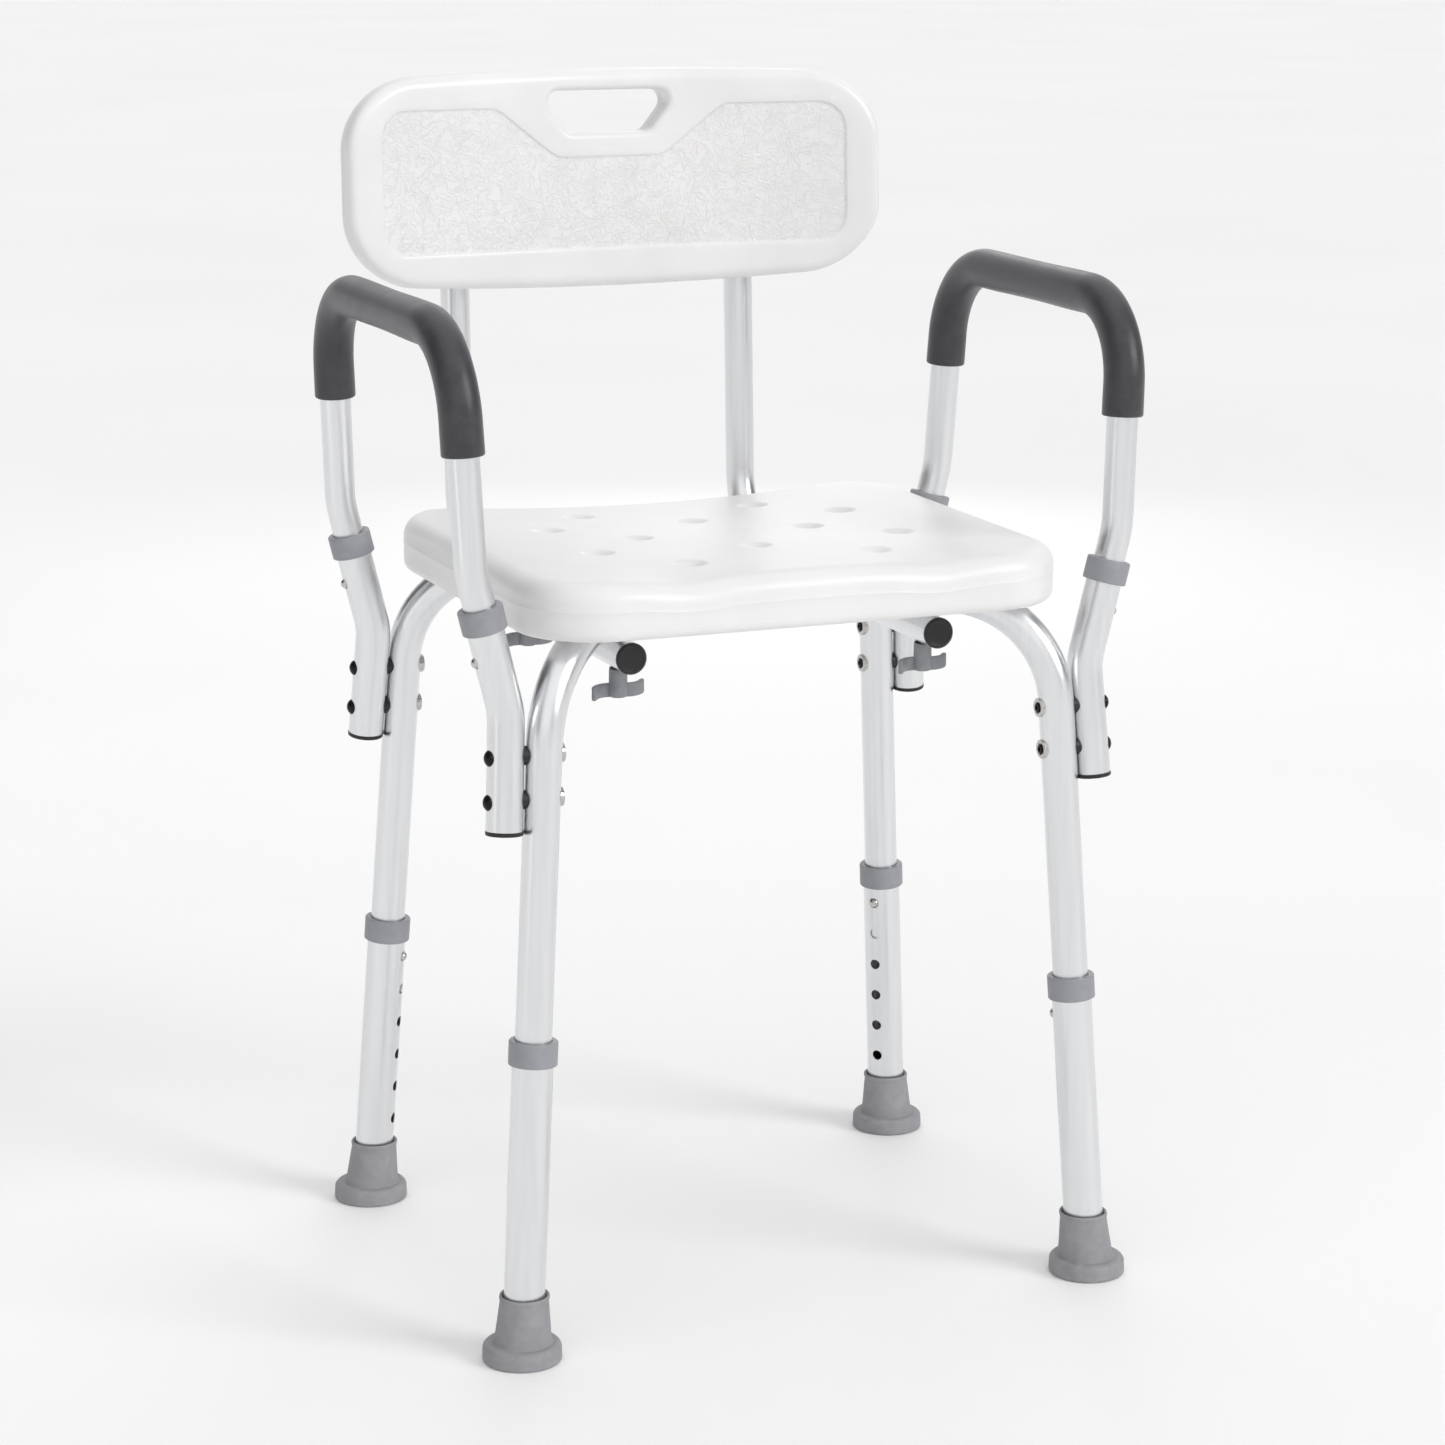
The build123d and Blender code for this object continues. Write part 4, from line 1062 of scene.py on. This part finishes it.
def back_screws():
    """Four screws through the back tubes, copied from one pattern."""
    pattern = cross_screw()
    low, high = box("back_screws")
    tube = box("back_tube_right")[1]
    skin = Skin()
    skin.row([(sx * BACK_TUBE_X, tube.y - BACK_LEAN * (tube.z - z) + 0.1, z)
              for sx in SIDES.values() for z in (low.z + 5.0, high.z - 4.6)])
    screws = skin.piece("screws_back", NICKEL)
    run_tree(screws, COPIES, {"Pattern": pattern, "Turn": Vector((-pi / 2 - atan(BACK_LEAN), 0, 0)),
                              "Material": NICKEL})
    bpy.data.objects.remove(pattern)
    smoothed(screws, 35)
    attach(screws, "frame")
    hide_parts("back_screws")


# ---- the frame's own nodes ----------------------------------------------------------------


def islands(node):
    """Corner points of each separate solid of a frame node, in millimetres."""
    held = frame["nodes"][node]
    shape = bmesh.new()
    shape.from_mesh(held.data)
    bmesh.ops.remove_doubles(shape, verts=shape.verts, dist=0.001 * MM)
    seen, found = set(), []
    for start in shape.verts:
        group, front = [], [start]
        while front:
            point = front.pop()
            if point not in seen:
                seen.add(point)
                group.append(held.matrix_world @ point.co / MM)
                front += [edge.other_vert(point) for edge in point.link_edges]
        if group:
            found.append(group)
    shape.free()
    return found


def nuts_and_saddles():
    """Sleeve nuts with hexagon sockets, sunk in round saddle washers that lie close to the legs."""
    washer = [(0, -6), (6.9, -6), (6.9, -0.5), (6.7, -0.1), (6.3, 0.1), (4.7, 0.1), (4.2, -0.2), (4.0, -0.9),
              (0, -0.9)]
    nut = [(0, -3), (3.6, -3), (3.6, -0.1), (3.4, 0.5), (2.9, 0.9), (2.3, 1.0)]
    angles = [2 * pi * i / NUT_SIDES for i in range(NUT_SIDES)]
    radii = [HEXAGON_R * cos(pi / 6) / cos(t % (pi / 3) - pi / 6) for t in angles]
    washers, nuts = Skin(), Skin()
    bolts = [sum(points, Vector()) / len(points) for points in islands("arm_bolts")]
    for points in islands("sleeve_nuts"):
        middle = sum(points, Vector()) / len(points)
        inwards = (middle - min(bolts, key=lambda bolt: (bolt - middle).length)).normalized()
        tip = max((p - middle).dot(inwards) for p in points)
        turn = Vector((0, 0, 1)).rotation_difference(inwards)
        face = middle + inwards * (tip - NUT_HEAD - 0.9)

        def place(point):
            return face + turn @ point

        washers.turned(washer, place, sides=40)
        nuts.turned(nut, place, sides=NUT_SIDES)
        first = len(nuts.points) - NUT_SIDES
        rows = [list(range(first, first + NUT_SIDES))]
        for depth in (0.9, -1.2):
            rows.append(nuts.row([place(Vector((r * cos(t), r * sin(t), depth)))
                                  for r, t in zip(radii, angles)]))
        rows.append(nuts.row([place(Vector((0, 0, -1.2)))]))
        nuts.bands(rows)
    for skin, name, material, node, slot in (
            (washers, "saddle_rings", NICKEL, "saddle_washers", "bright_steel"),
            (nuts, "sleeve_nut_heads", BOLT_BLACK, "sleeve_nuts", "black_steel")):
        made = skin.piece(name, material)
        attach(made, "frame")
        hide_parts(node)


def dress_frame():
    """Give each node that stays the real material of its slot."""
    finishes = {"aluminium_tube": ALUMINIUM, "white_plastic": SEAT_WHITE, "grip_foam": FOAM,
                "grey_plastic": COLLAR_GREY, "grey_rubber": FOOT_GREY, "black_plastic": PLUG_BLACK,
                "black_steel": BOLT_BLACK, "bright_steel": NICKEL, "insert_brass": BRASS}
    for node in frame["nodes"].values():
        for held in node.material_slots:
            held.material = finishes[held.material.name]


# ---- studio -------------------------------------------------------------------------------


def floor_paint():
    """Matt white studio floor with a trace of unevenness."""
    made, tree, shader, place = start_material("painted_floor", {"IOR": 1.4})
    vary(tree, shader, noise(tree, place, 900, 3.0), ("#F9F9F9", "#FCFCFC"), (0.75, 0.85))
    return made


def add_lamp(name, kind, power, facing):
    """Lamp that shines in the direction it faces."""
    lamp = bpy.data.objects.new(name, bpy.data.lights.new(name, kind))
    lamp.data.energy = power
    lamp.rotation_euler = facing.to_track_quat("-Z", "Y").to_euler()
    bpy.context.scene.collection.objects.link(lamp)
    return lamp


def studio():
    """Pale floor with a raised far rim, white surroundings and soft lights."""
    skin = Skin()
    rim = [(60000, 0), (62000, 300), (64000, 1200), (66000, 3000), (67000, 6000)]
    skin.turned([(0, 0), *rim], sides=96)
    floor = skin.piece("floor", floor_paint())
    world = bpy.data.worlds.new("white_room")
    world.use_nodes = True
    tree = world.node_tree
    # dimmer to both sides of the chair, which draws the edges of the tubes
    sideways = (0.922, -0.387, 0.0)
    place = add(tree, "ShaderNodeTexCoord").outputs["Generated"]
    turned_away = maths(tree, "ABSOLUTE", vectors(tree, "DOT_PRODUCT", place, sideways))
    glow = ranged(tree, turned_away, (0.3, 0.8), (1.06, 0.08), "SMOOTHSTEP")
    tree.nodes["Background"].inputs[0].default_value = linear("#FFFFFF")
    tree.links.new(glow, tree.nodes["Background"].inputs[1])
    bpy.context.scene.world = world
    aim = Vector((0, SEAT_Y * MM, 0.45))
    for name, spot, size, power in (
            ("left_strip", (-2.4, -0.6, 1.1), (0.35, 2.4), 2),
            ("overhead", (0.2, 0.3, 3.2), (2.2, 2.2), 3),
            ("rear_strip", (1.2, 2.6, 1.4), (0.5, 2.2), 4)):
        lamp = add_lamp(name, "AREA", power, aim - Vector(spot))
        lamp.data.shape = "RECTANGLE"
        lamp.data.size, lamp.data.size_y = size
        lamp.location = spot
    key = add_lamp("key", "SUN", 1.4, Vector((-0.72, 0.8, -0.55)))
    key.data.angle = radians(28)
    bpy.context.scene.view_settings.view_transform = "Standard"


def camera():
    """Camera in front of the chair, to its left and a little above it."""
    azimuth, elevation, roll = radians(-22.755), radians(12.176), radians(0.289)
    distance, aim = 2.7751, Vector((0, SEAT_Y * MM, 0.450))
    back = Vector((sin(azimuth) * cos(elevation), -cos(azimuth) * cos(elevation), sin(elevation)))
    lens = bpy.data.cameras.new("camera")
    lens.sensor_width = 36
    lens.lens = 95.05
    lens.shift_y = -0.0523
    eye = bpy.data.objects.new("camera", lens)
    eye.location = aim + back * distance
    eye.rotation_euler = ((-back).to_track_quat("-Z", "Y") @ Quaternion((0, 0, 1), roll)).to_euler()
    bpy.context.scene.collection.objects.link(eye)
    bpy.context.scene.camera = eye


camera()
studio()
dress_frame()
seat_shell()
back_shell()
for side, sx in SIDES.items():
    foam_grip(side, sx)
for corner, side in CORNERS:
    rubber_foot(corner)
    leg_button(corner)
    arm_button(corner, side)
    wing_knob(corner)
caps = [tube_cap(*place) for place in cap_places()]
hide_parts("back_tube_caps")
back_screws()
nuts_and_saddles()

bpy.context.view_layer.update()
